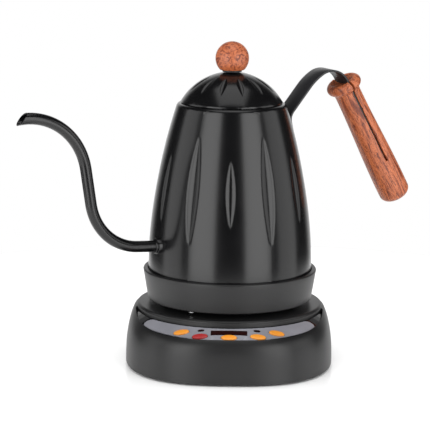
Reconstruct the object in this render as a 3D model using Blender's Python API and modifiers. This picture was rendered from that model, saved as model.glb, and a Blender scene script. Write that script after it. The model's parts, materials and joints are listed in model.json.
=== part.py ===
"""Electric gooseneck kettle on its power base.

Metres, +Z up. The table is z = 0, the kettle's axis is the Z axis, and the base's control
panel faces -Y. The kettle stands turned on its base by SWIVEL: the spout points towards -X
and the handle towards +X in the kettle's own frame.
"""

import math

import bmesh
import bpy
from mathutils import Matrix, Vector

# Clearances
GAP = 0.0003            # between pieces that touch
OVERRUN = 0.002         # how far a cutter runs past what it cuts
WELD = 1e-5             # points nearer than this are one point
SLOPE_STEP = 0.0005     # height over which the body's slope is taken
SHARP_ANGLE = math.radians(35)

# Facets of the large round pieces
WALL_STEPS = 40
CONE_STEPS = 64
SHOULDER_FACETS = 4

# Power base
FOOT_R = 0.007
FOOT_H = 0.0015
PLATFORM_Z = 0.0465     # top of the round platform
PLATFORM_R = 0.0740
PLATFORM_BEAD = 0.0022  # edge radius of the platform
PLATFORM_STEP = 0.0030  # how far the platform stands over the shoulder
SHOULDER_R = PLATFORM_R + 0.0015
BASE_SIDE = PLATFORM_R + 0.0083     # half width
BASE_FRONT = PLATFORM_R + 0.0212    # from the kettle's axis to the front
BASE_BACK = BASE_SIDE               # from the kettle's axis to the back
BASE_WALL = 0.0025
BASE_SQUARENESS = 2.6   # exponent of the plan's superellipse at the table
SIDE_CURVE = 2.8        # exponents of how the wall leans in towards the shoulder
FRONT_CURVE = 7
ROUNDING_CURVE = 8
WALL_SHARES = (0, 0.35, 0.62, 0.8, 0.9, 0.96, 1)
PLATFORM_WALL = 0.0026
COVER_T = 0.0030
COVER_SCREW_R = 0.0015
COVER_SCREW_HEAD_R = 0.0030
COVER_SCREW_HEAD_H = 0.0015
COVER_SCREW_LENGTH = 0.011
COVER_SCREW_ANGLE = math.radians(40)
BOSS_WALL = 0.0022
FOOT_X = BASE_SIDE - 0.0363
FOOT_Y = BASE_SIDE - 0.0183
GLAND_BORE_R = 0.0033
GLAND_R = GLAND_BORE_R + 0.0020
GLAND_FLANGE_R = GLAND_R + 0.0020
GLAND_OUT = 0.0060
GLAND_Z = 0.0130

# Control panel: a cone around the kettle's axis, sloping down to the front
PANEL_SLOPE = math.radians(25)
PANEL_DROP = 0.0042     # from the platform's top to the panel's inner edge
EYE_FRONT = BASE_FRONT - 0.0049     # the recess's outline reaches this far to the front
EYE_SIDE = PLATFORM_R + 0.0006
EYE_INNER_R = PLATFORM_R + GAP
EYE_BACK = -0.014       # the recess ends at this y
LABEL_T = 0.0005
BEZEL_T = 0.0012
PANEL_FLOOR = 0.0022    # housing wall under the panel
LABEL_INNER_R = EYE_INNER_R + 0.0019
LABEL_OUTER_Y = -0.0095             # centre of the label's outer arc
LABEL_OUTER_R = EYE_FRONT + LABEL_OUTER_Y - 0.0009
LABEL_HALF_ANGLE = math.radians(51)
LABEL_END_R = 0.0042
KEY_HALF_X = 0.0061
KEY_HALF_Y = 0.0030
KEY_PROUD = 0.0009
KEY_LENGTH = 0.0064
KEY_ROW_R = EYE_FRONT - 0.0041
KEY_END_ROW_R = KEY_ROW_R - 0.0024
KEY_ANGLES = (-26.0, -15.0, 0.0, 15.0, 26.0)
WINDOW_X = 0.0275
WINDOW_Y = 0.0050
WINDOW_ROW_R = LABEL_INNER_R + 0.0044
LAMP_HALF_X = 0.0025
LAMP_HALF_Y = 0.0011
LAMP_ROW_R = LABEL_INNER_R + 0.0033
LAMP_ANGLE = 15.7
SWITCH_SIDE = 0.0060
SWITCH_H = 0.0035
SWITCH_PLAY = 0.0008    # between a key at rest and its switch
BOARD_T = 0.0012
BOARD_HALF_ANGLE = math.radians(34)
POWER_BOARD = (0.070, 0.044, 0.0016)
POWER_BOARD_Y = 0.042
POWER_BOARD_Z = 0.0085
RELAY = (0.019, 0.0155, 0.0150)

# Plug-in connector
POST_R = 0.0115
POST_H = 0.0110         # above the platform
POST_BORE_R = 0.0062
POST_FLANGE_R = POST_R + 0.0045
PIN_R = 0.0020
SOCKET_R = POST_R + 0.0075
SOCKET_CLEARANCE = 0.0006
SOCKET_ROOF = 0.0030

# Kettle cup
SWIVEL = math.radians(30)
BODY_R = 0.0651         # the vessel's widest radius, where it sits in the cup
CUP_BOTTOM_R = BODY_R + GAP
CUP_TOP_R = CUP_BOTTOM_R + 0.0037
STAND_R = CUP_BOTTOM_R - 0.0114     # ring that the kettle stands on
STAND_H = 0.0031
CUP_H = 0.0243
CUP_WALL = 0.0034
CUP_EDGE = 0.0012
CUP_SEAT = 0.0039       # how deep the body sits in the cup
CUP_LEDGE = 0.0020
FLOOR_T = 0.0021
CUP_SCREW_R = 0.0013
CUP_SCREW_HEAD_R = 0.0026
CUP_SCREW_HEAD_H = 0.0014
CUP_SCREW_RING_R = CUP_BOTTOM_R - 0.0069

# Vessel
BODY_SHOULDER_R = 0.0437
BODY_H = 0.1333         # from the body's lower edge to its shoulder
BODY_WALL = 0.0010
BODY_TAPER = 1.88       # exponent of the body's outline
SHOULDER_ROUND = 0.0036
MOUTH_R = BODY_SHOULDER_R - SHOULDER_ROUND - 0.0012
MOUTH_DEPTH = 0.0040
PLATE_T = 0.0012
PLATE_RIM = 0.0050
DIFFUSER_R = BODY_R - 0.0191
DIFFUSER_T = 0.0030
ELEMENT_RING_R = DIFFUSER_R - 0.0100
ELEMENT_R = 0.0032
ELEMENT_OPEN = math.radians(50)
PROBE_R = 0.0030
PROBE_UP = 0.0080
CUTOUT_R = 0.0062
CUTOUT_H = 0.0070
SEAL_T = 0.0010

# Spout
SPOUT_R = 0.0045
SPOUT_WALL = 0.0009
SPOUT_UP = 0.0262       # axis above the body's lower edge
SPOUT_INSIDE = 0.0030
SPOUT_RISE = math.radians(4)
SPOUT_FOOT = 0.0195     # straight run outside the body
SPOUT_BEND_R = 0.0435
SPOUT_STEEP = math.radians(81)
SPOUT_STEM = 0.0280
SPOUT_NECK_R = 0.0500
SPOUT_DIP = math.radians(-4)
SPOUT_END = 0.0005
SPOUT_CUT = math.radians(50)
COLLAR_NECK_R = SPOUT_R + 0.0010
COLLAR_R = COLLAR_NECK_R + 0.0007
COLLAR_L = 0.0030
COLLAR_NECK_L = 0.0016

# Handle
STRAP_W = 0.0200
STRAP_T = 0.0015
STRAP_FOOT_UP = 0.0930  # lower end above the body's lower edge
STRAP_FOOT_L = 0.0250
STRAP_KINK_R = 0.0100
STRAP_RISE = math.radians(50)
STRAP_RUN = 0.0240
STRAP_ARCH_R = 0.0450
STRAP_CREST = math.radians(30)
STRAP_TURN_R = 0.0170
GRIP_TILT = math.radians(29.5)
GRIP_L = 0.1145
GRIP_BEAD_R = 0.0146
GRIP_BEAD_L = 0.0092
GRIP_BEAD_ROUND = 0.0044
GRIP_DISH = 0.0022      # depth of the hollow in the wood's top
GRIP_DISH_R = 0.0085
GRIP_NECK_R = 0.0107
GRIP_NECK_L = 0.0125    # from the top to where the swell begins
GRIP_SWELL_R = 0.0128
GRIP_END_ROUND = 0.0065
GRIP_END_L = 0.0140     # from the end of the swell to the grip's end
GRIP_ENTRY = 0.0010     # strap run before the wood's top face
KERF_L = GRIP_L - 0.0375
TONGUE_END = 0.0020     # space left at the kerf's end
GRIP_PIN_R = 0.0015
GRIP_PIN_L = 0.0150
GRIP_PIN_SHARES = (0.35, 0.75)      # places of the pins along the kerf
RIVET_SHARES = (0.22, 0.78)         # places of the rivets along the strap's foot
RIVET_R = 0.0019
RIVET_HEAD_R = 0.0034
RIVET_HEAD_H = 0.0016

# Lid
LID_R = MOUTH_R + 0.0013
LID_RISE = 0.0234
LID_LIP = 0.0008
LID_WALL = 0.0010
LID_CLEARANCE = 0.0006
LID_SEAL_T = 0.0015
LID_SKIRT_R = MOUTH_R - LID_CLEARANCE - LID_SEAL_T
LID_SKIRT_H = 0.0100
LID_SEAL_H = 0.0025
KNOB_R = 0.0132
KNOB_FLAT = KNOB_R - 0.0042         # from the ball's centre to its flat
WASHER_R = 0.0077
WASHER_T = 0.0012
KNOB_SCREW_R = 0.0020
KNOB_SCREW_IN = 0.0120

# Heights that follow from the sizes above
COVER_Z = FOOT_H + GAP
PANEL_Z = PLATFORM_Z - PANEL_DROP
STAND_Z = PLATFORM_Z + GAP
CUP_Z = STAND_Z + STAND_H
CUP_TOP_Z = CUP_Z + CUP_H
LEDGE_Z = CUP_TOP_Z - CUP_SEAT
BODY_Z = LEDGE_Z + GAP
BODY_TOP_Z = BODY_Z + BODY_H
FLANGE_Z = CUP_Z + FLOOR_T + GAP
POST_TOP_Z = PLATFORM_Z + POST_H
PLATE_Z = BODY_Z + GAP
DIFFUSER_Z = PLATE_Z - GAP - DIFFUSER_T
SPOUT_Z = BODY_Z + SPOUT_UP


def fresh_scene():
    """Empties the scene and makes the collections for the pieces and for the cutters."""
    for thing in list(bpy.data.objects):
        bpy.data.objects.remove(thing, do_unlink=True)
    made = []
    for name in ("gooseneck_kettle", "cutters"):
        collection = bpy.data.collections.new(name)
        bpy.context.scene.collection.children.link(collection)
        made.append(collection)
    return made


PIECES, CUTTERS = fresh_scene()


def material(name, colour, roughness, metallic=0.0):
    """A Principled material with one colour."""
    made = bpy.data.materials.new(name)
    made.use_nodes = True
    shader = made.node_tree.nodes["Principled BSDF"]
    shader.inputs["Base Color"].default_value = (*colour, 1.0)
    shader.inputs["Roughness"].default_value = roughness
    shader.inputs["Metallic"].default_value = metallic
    return made


ENAMEL = material("black_enamel", (0.012, 0.012, 0.014), 0.15)
CHARCOAL = material("charcoal_plastic", (0.03, 0.03, 0.034), 0.45)
GLOSS = material("gloss_panel", (0.01, 0.01, 0.012), 0.08)
SILVER = material("silver_label", (0.42, 0.42, 0.46), 0.35)
WOOD = material("rosewood", (0.38, 0.12, 0.05), 0.4)
STEEL = material("steel", (0.6, 0.6, 0.6), 0.3, 1.0)
ALUMINIUM = material("aluminium", (0.7, 0.7, 0.72), 0.4, 1.0)
STRAP_BLACK = material("black_strap", (0.015, 0.015, 0.016), 0.35)
RUBBER = material("rubber", (0.02, 0.02, 0.02), 0.8)
SILICONE = material("silicone", (0.25, 0.25, 0.25), 0.6)
NYLON = material("black_nylon", (0.02, 0.02, 0.02), 0.5)
AMBER = material("amber_key", (0.9, 0.4, 0.03), 0.4)
RED = material("red_key", (0.6, 0.02, 0.02), 0.4)
LENS = material("dark_lens", (0.03, 0.005, 0.005), 0.1)
BOARD = material("circuit_board", (0.02, 0.15, 0.05), 0.5)
BRASS = material("brass", (0.7, 0.5, 0.2), 0.3, 1.0)


def place(thing, look=None, parent=None, matrix=None):
    """Puts an object among the pieces, or among the cutters when it has no look."""
    (PIECES if look else CUTTERS).objects.link(thing)
    if look:
        thing.data.materials.append(look)
    else:
        thing.hide_render = True
        thing.display_type = "WIRE"
    if matrix is not None:
        thing.matrix_basis = matrix
    thing.parent = parent
    return thing


def smooth(mesh):
    mesh.shade_smooth()
    mesh.set_sharp_from_angle(angle=SHARP_ANGLE)


def turned(name, outline, look=None, steps=40, closed=True, **where):
    """A profile of (radius, height) pairs turned about its Z axis; closed for a ring."""
    mesh = bpy.data.meshes.new(name)
    count = len(outline)
    edges = [(i, i + 1) for i in range(count - 1)]
    if closed:
        edges.append((count - 1, 0))
    mesh.from_pydata([(radius, 0.0, height) for radius, height in outline], edges, [])
    thing = bpy.data.objects.new(name, mesh)
    screw = thing.modifiers.new("turn", "SCREW")
    screw.steps = screw.render_steps = steps
    screw.use_merge_vertices = True
    screw.merge_threshold = WELD
    screw.use_smooth_shade = True
    return place(thing, look, **where)


def solid(name, outline, look=None, steps=40, **where):
    """A turned piece whose profile starts and ends on the axis."""
    return turned(name, outline, look, steps, closed=False, **where)


def rod(name, radius, low, high, look=None, steps=20, **where):
    """A plain cylinder on the Z axis between two heights."""
    return solid(name, [(0, high), (radius, high), (radius, low), (0, low)], look, steps, **where)


def ring(name, inner, outer, low, high, look=None, steps=40, **where):
    """A plain ring on the Z axis between two heights."""
    outline = [(inner, high), (outer, high), (outer, low), (inner, low)]
    return turned(name, outline, look, steps, **where)


def box(name, size, centre, look=None, **where):
    """A box from a cube primitive."""
    shape = bmesh.new()
    bmesh.ops.create_cube(shape, size=1.0)
    bmesh.ops.scale(shape, vec=Vector(size), verts=shape.verts)
    bmesh.ops.translate(shape, vec=Vector(centre), verts=shape.verts)
    mesh = bpy.data.meshes.new(name)
    shape.to_mesh(mesh)
    shape.free()
    return place(bpy.data.objects.new(name, mesh), look, **where)


def meshed(name, curve, look, **where):
    """Turns a curve's evaluated shape into a mesh object with its caps welded on."""
    draft = bpy.data.objects.new(name + "_draft", curve)
    bpy.context.scene.collection.objects.link(draft)
    graph = bpy.context.evaluated_depsgraph_get()
    mesh = bpy.data.meshes.new_from_object(draft.evaluated_get(graph))
    bpy.data.objects.remove(draft)
    bpy.data.curves.remove(curve)
    shape = bmesh.new()
    shape.from_mesh(mesh)
    bmesh.ops.remove_doubles(shape, verts=shape.verts, dist=WELD)
    bmesh.ops.recalc_face_normals(shape, faces=shape.faces)
    shape.to_mesh(mesh)
    shape.free()
    mesh.name = name
    mesh.materials.clear()
    smooth(mesh)
    return place(bpy.data.objects.new(name, mesh), look, **where)


def prism(name, outline, low, high, look=None, **where):
    """A flat outline of (x, y) points with a thickness along Z, from low to high."""
    curve = bpy.data.curves.new(name, "CURVE")
    curve.dimensions = "2D"
    curve.fill_mode = "BOTH"
    curve.extrude = (high - low) / 2
    spline = curve.splines.new("POLY")
    spline.points.add(len(outline) - 1)
    for point, (x, y) in zip(spline.points, outline):
        point.co = (x, y, 0.0, 1.0)
    spline.use_cyclic_u = True
    thing = meshed(name, curve, look, **where)
    thing.data.transform(Matrix.Translation((0, 0, (low + high) / 2)))
    return thing


def pipe(name, route, radius, look=None, resolution=4, caps=True, **where):
    """A round tube along a route of (x, y, z) points."""
    curve = bpy.data.curves.new(name, "CURVE")
    curve.dimensions = "3D"
    curve.bevel_depth = radius
    curve.bevel_resolution = resolution
    curve.use_fill_caps = caps
    spline = curve.splines.new("POLY")
    spline.points.add(len(route) - 1)
    for point, place_at in zip(spline.points, route):
        point.co = (*place_at, 1.0)
    return meshed(name, curve, look, **where)


def cut(thing, cutter, operation="DIFFERENCE"):
    """Cuts a piece with one cutter object, or with every object of a collection."""
    modifier = thing.modifiers.new(operation.lower(), "BOOLEAN")
    modifier.operation = operation
    if isinstance(cutter, bpy.types.Collection):
        modifier.operand_type = "COLLECTION"
        modifier.collection = cutter
    else:
        modifier.object = cutter
    return thing


def empty(name, parent=None, turn=0.0):
    """An axis that pieces are parented to."""
    thing = bpy.data.objects.new(name, None)
    PIECES.objects.link(thing)
    thing.rotation_euler.z = turn
    thing.parent = parent
    return thing


def arc(centre, radius, start, end, count):
    """Points on an arc, both ends included; angles in radians."""
    turns = [start + (end - start) * i / count for i in range(count + 1)]
    return [(centre[0] + radius * math.cos(a), centre[1] + radius * math.sin(a)) for a in turns]


def ellipse(half_x, half_y, count=20):
    turns = [2 * math.pi * i / count for i in range(count)]
    return [(half_x * math.cos(a), half_y * math.sin(a)) for a in turns]


def walk(start, heading, steps):
    """Points of a path in a plane. Each step is ("run", length) or ("bend", radius, new heading)."""
    x, y = start
    path = [(x, y)]
    for kind, size, *new in steps:
        if kind == "run":
            x += size * math.cos(heading)
            y += size * math.sin(heading)
            path.append((x, y))
            continue
        side = 1 if new[0] > heading else -1
        centre = (x - side * size * math.sin(heading), y + side * size * math.cos(heading))
        count = max(3, round(abs(new[0] - heading) / math.radians(9)))
        first = heading - side * math.pi / 2
        bend = arc(centre, size, first, first + new[0] - heading, count)
        path += bend[1:]
        x, y = bend[-1]
        heading = new[0]
    return path


def superellipse(side, front, back, squareness, count=48):
    """A rounded plan outline; front is towards -Y."""
    outline = []
    for i in range(count):
        angle = 2 * math.pi * i / count
        c, s = math.cos(angle), math.sin(angle)
        x = side * math.copysign(abs(c) ** (2 / squareness), c)
        y = math.copysign(abs(s) ** (2 / squareness), s) * (back if s > 0 else front)
        outline.append((x, y))
    return outline


def loft(name, levels, look=None, **where):
    """A closed solid through plan outlines; levels are (height, outline) from bottom to top."""
    shape = bmesh.new()
    rings = [[shape.verts.new((x, y, z)) for x, y in outline] for z, outline in levels]
    for lower, upper in zip(rings, rings[1:]):
        for i in range(len(lower)):
            j = (i + 1) % len(lower)
            shape.faces.new((lower[i], lower[j], upper[j], upper[i]))
    shape.faces.new(rings[-1])
    shape.faces.new(reversed(rings[0]))
    mesh = bpy.data.meshes.new(name)
    shape.to_mesh(mesh)
    shape.free()
    smooth(mesh)
    return place(bpy.data.objects.new(name, mesh), look, **where)


# Power base


def base_outline(share, inset=0.0):
    """The housing's plan at a share of its height, from 0 at the table to 1 at the shoulder."""
    side = BASE_SIDE - (BASE_SIDE - SHOULDER_R) * share ** SIDE_CURVE
    back = BASE_BACK - (BASE_BACK - SHOULDER_R) * share ** SIDE_CURVE
    front = BASE_FRONT - (BASE_FRONT - SHOULDER_R) * share ** FRONT_CURVE
    squareness = 2 + (BASE_SQUARENESS - 2) * (1 - share ** ROUNDING_CURVE)
    return superellipse(side - inset, front - inset, back - inset, squareness)


def circle(radius):
    return superellipse(radius, radius, radius, 2)


def panel_height(radius, depth=0.0):
    """Height of the panel's cone at a radius, at a depth below its surface."""
    fall = (radius - EYE_INNER_R) * math.tan(PANEL_SLOPE)
    return PANEL_Z - fall - depth / math.cos(PANEL_SLOPE)


def cone_layer(name, inner, outer, top, bottom, look=None, **where):
    """A conical ring between two depths below the panel's surface."""
    outline = [
        (inner, panel_height(inner, top)),
        (outer, panel_height(outer, top)),
        (outer, panel_height(outer, bottom)),
        (inner, panel_height(inner, bottom)),
    ]
    return turned(name, outline, look, steps=CONE_STEPS, **where)


def panel_spot(radius, degrees):
    """Placement on the panel: local Z is the panel's normal and local X runs level."""
    angle = math.radians(degrees)
    outward = Vector((math.sin(angle), -math.cos(angle), 0))
    normal = outward * math.sin(PANEL_SLOPE) + Vector((0, 0, math.cos(PANEL_SLOPE)))
    across = (Vector((1, 0, 0)) - normal * normal.x).normalized()
    along = normal.cross(across)
    turn = Matrix((across, along, normal)).transposed().to_4x4()
    spot = outward * radius + Vector((0, 0, panel_height(radius)))
    return Matrix.Translation(spot) @ turn


def eye_outline(name, inset, low, high):
    """Cutter with the plan of the panel's recess, inset all round."""
    front = EYE_FRONT - inset
    side = EYE_SIDE - inset
    plan = superellipse(side, front, side, BASE_SQUARENESS)
    shape = prism(name, plan, low, high)
    cut(shape, rod(name + "_core", EYE_INNER_R + inset, low - OVERRUN, high + OVERRUN, steps=CONE_STEPS))
    back = box(
        name + "_back",
        (4 * BASE_SIDE, 2 * BASE_BACK, 2 * PLATFORM_Z),
        (0, EYE_BACK - inset + BASE_BACK, PLATFORM_Z),
    )
    return cut(shape, back)


def smile_outline():
    """Plan of the silver label: a crescent with round ends."""
    start = -math.pi / 2
    inner = arc((0, 0), LABEL_INNER_R, start - LABEL_HALF_ANGLE, start + LABEL_HALF_ANGLE, 20)
    middle = LABEL_INNER_R + LABEL_END_R
    right = (middle * math.sin(LABEL_HALF_ANGLE), -middle * math.cos(LABEL_HALF_ANGLE))
    tilt = LABEL_HALF_ANGLE - math.pi / 2
    right_end = arc(right, LABEL_END_R, tilt + math.pi, tilt, 5)
    reach = math.asin((right[0] + LABEL_END_R * math.cos(tilt)) / LABEL_OUTER_R)
    outer = arc((0, LABEL_OUTER_Y), LABEL_OUTER_R, start + reach, start - reach, 20)
    left_end = [(-x, y) for x, y in reversed(right_end)]
    return inner + right_end[1:-1] + outer + left_end[1:-1]


def base_housing():
    """Shell, bottom cover, feet and screws."""
    shoulder_z = PLATFORM_Z - PLATFORM_STEP
    rise = shoulder_z - COVER_Z
    levels = [(COVER_Z + share * rise, base_outline(share)) for share in WALL_SHARES]
    levels.append((shoulder_z + SHOULDER_R - PLATFORM_R - GAP, circle(PLATFORM_R)))
    bead = arc(
        (PLATFORM_R - PLATFORM_BEAD, PLATFORM_Z - PLATFORM_BEAD), PLATFORM_BEAD, 0, math.pi / 2, 3
    )
    levels += [(height, circle(radius)) for radius, height in bead]
    shell = loft("base_shell", levels, CHARCOAL)

    # Inside, the hollow follows the wall and passes under the panel.
    under = LABEL_T + BEZEL_T + 2 * GAP + PANEL_FLOOR
    front_low = panel_height(EYE_FRONT, under)
    low_share = (front_low - COVER_Z) / rise
    platform_low = PLATFORM_Z - PLATFORM_WALL
    step_r = EYE_INNER_R - BASE_WALL
    hollow = loft(
        "base_hollow",
        [
            (COVER_Z - OVERRUN, base_outline(0, BASE_WALL)),
            (COVER_Z + 0.5 * low_share * rise, base_outline(0.5 * low_share, BASE_WALL)),
            (front_low, base_outline(low_share, BASE_WALL)),
            (panel_height(EYE_INNER_R, under), circle(EYE_INNER_R)),
            (panel_height(step_r, under), circle(step_r)),
            (platform_low, circle(step_r)),
        ],
    )
    cut(shell, hollow)

    boss_r = COVER_SCREW_R + BOSS_WALL
    boss_low = COVER_Z + COVER_T + GAP
    screw_ring_r = step_r - boss_r - GAP
    screw_x = screw_ring_r * math.cos(COVER_SCREW_ANGLE)
    screw_y = screw_ring_r * math.sin(COVER_SCREW_ANGLE)
    for i, (x, y) in enumerate(corner_places(screw_x, screw_y)):
        at = Matrix.Translation((x, y, 0))
        boss_top = PLATFORM_Z - PLATFORM_WALL / 2
        boss = rod(f"boss_{i}", boss_r, boss_low, boss_top, steps=12, matrix=at)
        cut(shell, boss, "UNION")
        tip = COVER_Z + COVER_T + COVER_SCREW_LENGTH
        pilot = rod(f"pilot_{i}", COVER_SCREW_R + GAP, 0, tip, steps=12, matrix=at)
        cut(shell, pilot)

    depth = LABEL_T + BEZEL_T + 2 * GAP
    recess = cone_layer(
        "panel_recess", PLATFORM_R - OVERRUN, EYE_FRONT + OVERRUN, -5 * OVERRUN, depth
    )
    cut(recess, eye_outline("recess_plan", 0, 0, 2 * PLATFORM_Z), "INTERSECT")
    cut(shell, recess)

    cover = prism(
        "base_bottom_cover", base_outline(0, BASE_WALL + GAP), COVER_Z, COVER_Z + COVER_T, CHARCOAL
    )
    for i, (x, y) in enumerate(corner_places(screw_x, screw_y)):
        at = Matrix.Translation((x, y, 0))
        seat = COVER_Z + COVER_SCREW_HEAD_H + 2 * GAP
        sink_r = COVER_SCREW_HEAD_R + GAP
        hole_r = COVER_SCREW_R + GAP
        top = COVER_Z + COVER_T + OVERRUN
        sink = [(0, top), (hole_r, top), (hole_r, seat), (sink_r, seat), (sink_r, 0), (0, 0)]
        cut(cover, solid(f"cover_sink_{i}", sink, steps=12, matrix=at))
        head_low = seat - GAP - COVER_SCREW_HEAD_H
        tip = COVER_Z + COVER_T + COVER_SCREW_LENGTH - GAP
        screw = [
            (0, tip),
            (COVER_SCREW_R, tip),
            (COVER_SCREW_R, seat - GAP),
            (COVER_SCREW_HEAD_R, seat - GAP),
            (COVER_SCREW_HEAD_R, head_low),
            (0, head_low),
        ]
        solid(f"cover_screw_{i + 1}", screw, STEEL, steps=12, matrix=at)
    for i, (x, y) in enumerate(corner_places(FOOT_X, FOOT_Y)):
        rod(f"base_foot_{i + 1}", FOOT_R, 0, FOOT_H, RUBBER, steps=16, matrix=Matrix.Translation((x, y, 0)))
    return shell


def corner_places(x, y):
    return [(-x, -y), (x, -y), (x, y), (-x, y)]


def control_panel(shell):
    """Bezel, label, window, keys, lamps and the electronics behind them."""
    bezel_top = LABEL_T + GAP
    bezel_low = bezel_top + BEZEL_T
    bezel = cone_layer(
        "panel_bezel", PLATFORM_R - OVERRUN, EYE_FRONT + OVERRUN, bezel_top, bezel_low, GLOSS
    )
    cut(bezel, eye_outline("bezel_plan", GAP, 0, 2 * PLATFORM_Z), "INTERSECT")
    label = cone_layer("panel_label", EYE_INNER_R, EYE_FRONT, 0, LABEL_T, SILVER)
    cut(label, prism("label_plan", smile_outline(), 0, 2 * PLATFORM_Z), "INTERSECT")

    holes = bpy.data.collections.new("panel_holes")
    CUTTERS.children.link(holes)

    def hole(cutter):
        CUTTERS.objects.unlink(cutter)
        holes.objects.link(cutter)

    key_low = KEY_PROUD - KEY_LENGTH
    reach = 2 * OVERRUN
    for i, degrees in enumerate(KEY_ANGLES):
        outer_key = i in (0, len(KEY_ANGLES) - 1)
        spot = panel_spot(KEY_END_ROW_R if outer_key else KEY_ROW_R, degrees)
        look = RED if i == 1 else AMBER
        prism(
            f"key_{i + 1}", ellipse(KEY_HALF_X, KEY_HALF_Y), key_low, KEY_PROUD, look, matrix=spot
        )
        around = ellipse(KEY_HALF_X + GAP, KEY_HALF_Y + GAP)
        hole(prism(f"key_hole_{i}", around, key_low - reach, reach, matrix=spot))
        switch_top = key_low - SWITCH_PLAY
        box(
            f"tact_switch_{i + 1}",
            (SWITCH_SIDE, SWITCH_SIDE, SWITCH_H),
            (0, 0, switch_top - SWITCH_H / 2),
            NYLON,
            matrix=spot,
        )
    for i, side in enumerate((-1, 1)):
        spot = panel_spot(LAMP_ROW_R, side * LAMP_ANGLE)
        lamp = ellipse(LAMP_HALF_X, LAMP_HALF_Y, 16)
        prism(f"lamp_lens_{i + 1}", lamp, key_low, GAP, LENS, matrix=spot)
        around = ellipse(LAMP_HALF_X + GAP, LAMP_HALF_Y + GAP, 16)
        hole(prism(f"lamp_hole_{i}", around, key_low - reach, reach, matrix=spot))

    spot = panel_spot(WINDOW_ROW_R, 0)
    box("display_window", (WINDOW_X, WINDOW_Y, bezel_low), (0, 0, -bezel_low / 2), LENS, matrix=spot)
    opening = (WINDOW_X + 2 * GAP, WINDOW_Y + 2 * GAP, 2 * KEY_LENGTH)
    hole(box("window_hole", opening, (0, 0, 0), matrix=spot))
    board_top = KEY_LENGTH - KEY_PROUD + SWITCH_PLAY + SWITCH_H + GAP
    module_top = bezel_low + GAP
    module_h = board_top - GAP - module_top
    box(
        "display_module",
        (WINDOW_X, WINDOW_Y, module_h),
        (0, 0, -module_top - module_h / 2),
        NYLON,
        matrix=spot,
    )
    for piece in (bezel, label, shell):
        cut(piece, holes)

    inner = WINDOW_ROW_R - WINDOW_Y - board_top * math.sin(PANEL_SLOPE)
    outer = KEY_ROW_R + KEY_HALF_Y - board_top * math.sin(PANEL_SLOPE)
    board = cone_layer("control_board", inner, outer, board_top, board_top + BOARD_T, BOARD)
    start = -math.pi / 2
    reach_r = EYE_FRONT + BASE_WALL
    wedge = [(0, 0)] + arc((0, 0), reach_r, start - BOARD_HALF_ANGLE, start + BOARD_HALF_ANGLE, 12)
    cut(board, prism("board_plan", wedge, 0, 2 * PLATFORM_Z), "INTERSECT")


def power_supply(shell):
    """Supply board, relay and the cord gland in the back wall."""
    wide, deep, thick = POWER_BOARD
    box("power_board", POWER_BOARD, (0, POWER_BOARD_Y, POWER_BOARD_Z + thick / 2), BOARD)
    relay_low = POWER_BOARD_Z + thick + GAP
    relay_at = ((wide - RELAY[0]) / 2 - BASE_WALL, POWER_BOARD_Y, relay_low + RELAY[2] / 2)
    box("power_relay", RELAY, relay_at, NYLON)

    wall = BASE_BACK
    inside = wall - BASE_WALL
    flange = [
        (GLAND_BORE_R, wall + GLAND_OUT),
        (GLAND_R, wall + GLAND_OUT),
        (GLAND_R, inside - 4 * GAP),
        (GLAND_FLANGE_R, inside - 4 * GAP),
        (GLAND_FLANGE_R, inside - 4 * GAP - COVER_T),
        (GLAND_BORE_R, inside - 4 * GAP - COVER_T),
    ]
    facing_back = Matrix.Translation((0, 0, GLAND_Z)) @ Matrix.Rotation(-math.pi / 2, 4, "X")
    turned("cord_gland", flange, RUBBER, steps=20, matrix=facing_back)
    cut(shell, rod("gland_hole", GLAND_R + GAP, inside - GLAND_R, wall + GLAND_R, matrix=facing_back))


def base_connector(shell):
    """The round post that the kettle plugs onto, with its centre pin."""
    flange_top = PLATFORM_Z - PLATFORM_WALL - GAP
    flange_low = flange_top - COVER_T
    bore_low = PLATFORM_Z - COVER_T
    post = [
        (POST_BORE_R, POST_TOP_Z),
        (POST_R, POST_TOP_Z),
        (POST_R, flange_top),
        (POST_FLANGE_R, flange_top),
        (POST_FLANGE_R, flange_low),
        (PIN_R + GAP, flange_low),
        (PIN_R + GAP, bore_low),
        (POST_BORE_R, bore_low),
    ]
    turned("base_connector", post, NYLON, steps=24)
    rod("connector_pin", PIN_R, flange_low, POST_TOP_Z - COVER_T, BRASS, steps=16)
    cut(shell, rod("post_hole", POST_R + GAP, flange_low, PLATFORM_Z + OVERRUN, steps=32))


# Kettle


def body_radius(height):
    """Outer radius of the vessel's wall at a height."""
    share = (height - CUP_TOP_Z) / (BODY_TOP_Z - CUP_TOP_Z)
    return BODY_R - (BODY_R - BODY_SHOULDER_R) * min(1, max(0, share)) ** BODY_TAPER


def body_lean(height):
    """Angle of the wall from the vertical, positive where the body narrows upwards."""
    lower, upper = height - SLOPE_STEP, height + SLOPE_STEP
    return math.atan2(body_radius(lower) - body_radius(upper), upper - lower)


def body_wall():
    """Outer side of the vessel from its shoulder round down to its lower edge."""
    lean = body_lean(BODY_TOP_Z - 2 * SLOPE_STEP)
    centre = (
        BODY_SHOULDER_R - SHOULDER_ROUND * math.cos(lean),
        BODY_TOP_Z - SHOULDER_ROUND * math.sin(lean),
    )
    wall = arc(centre, SHOULDER_ROUND, math.pi / 2, lean, SHOULDER_FACETS)
    levels = 7
    for i in range(1, levels + 1):
        height = BODY_TOP_Z - (BODY_TOP_Z - CUP_TOP_Z) * i / levels
        wall.append((body_radius(height), height))
    wall.append((BODY_R, BODY_Z))
    return wall


def mouth_z():
    """Top face of the body's mouth, where the lid rests."""
    return body_wall()[0][1]


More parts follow.
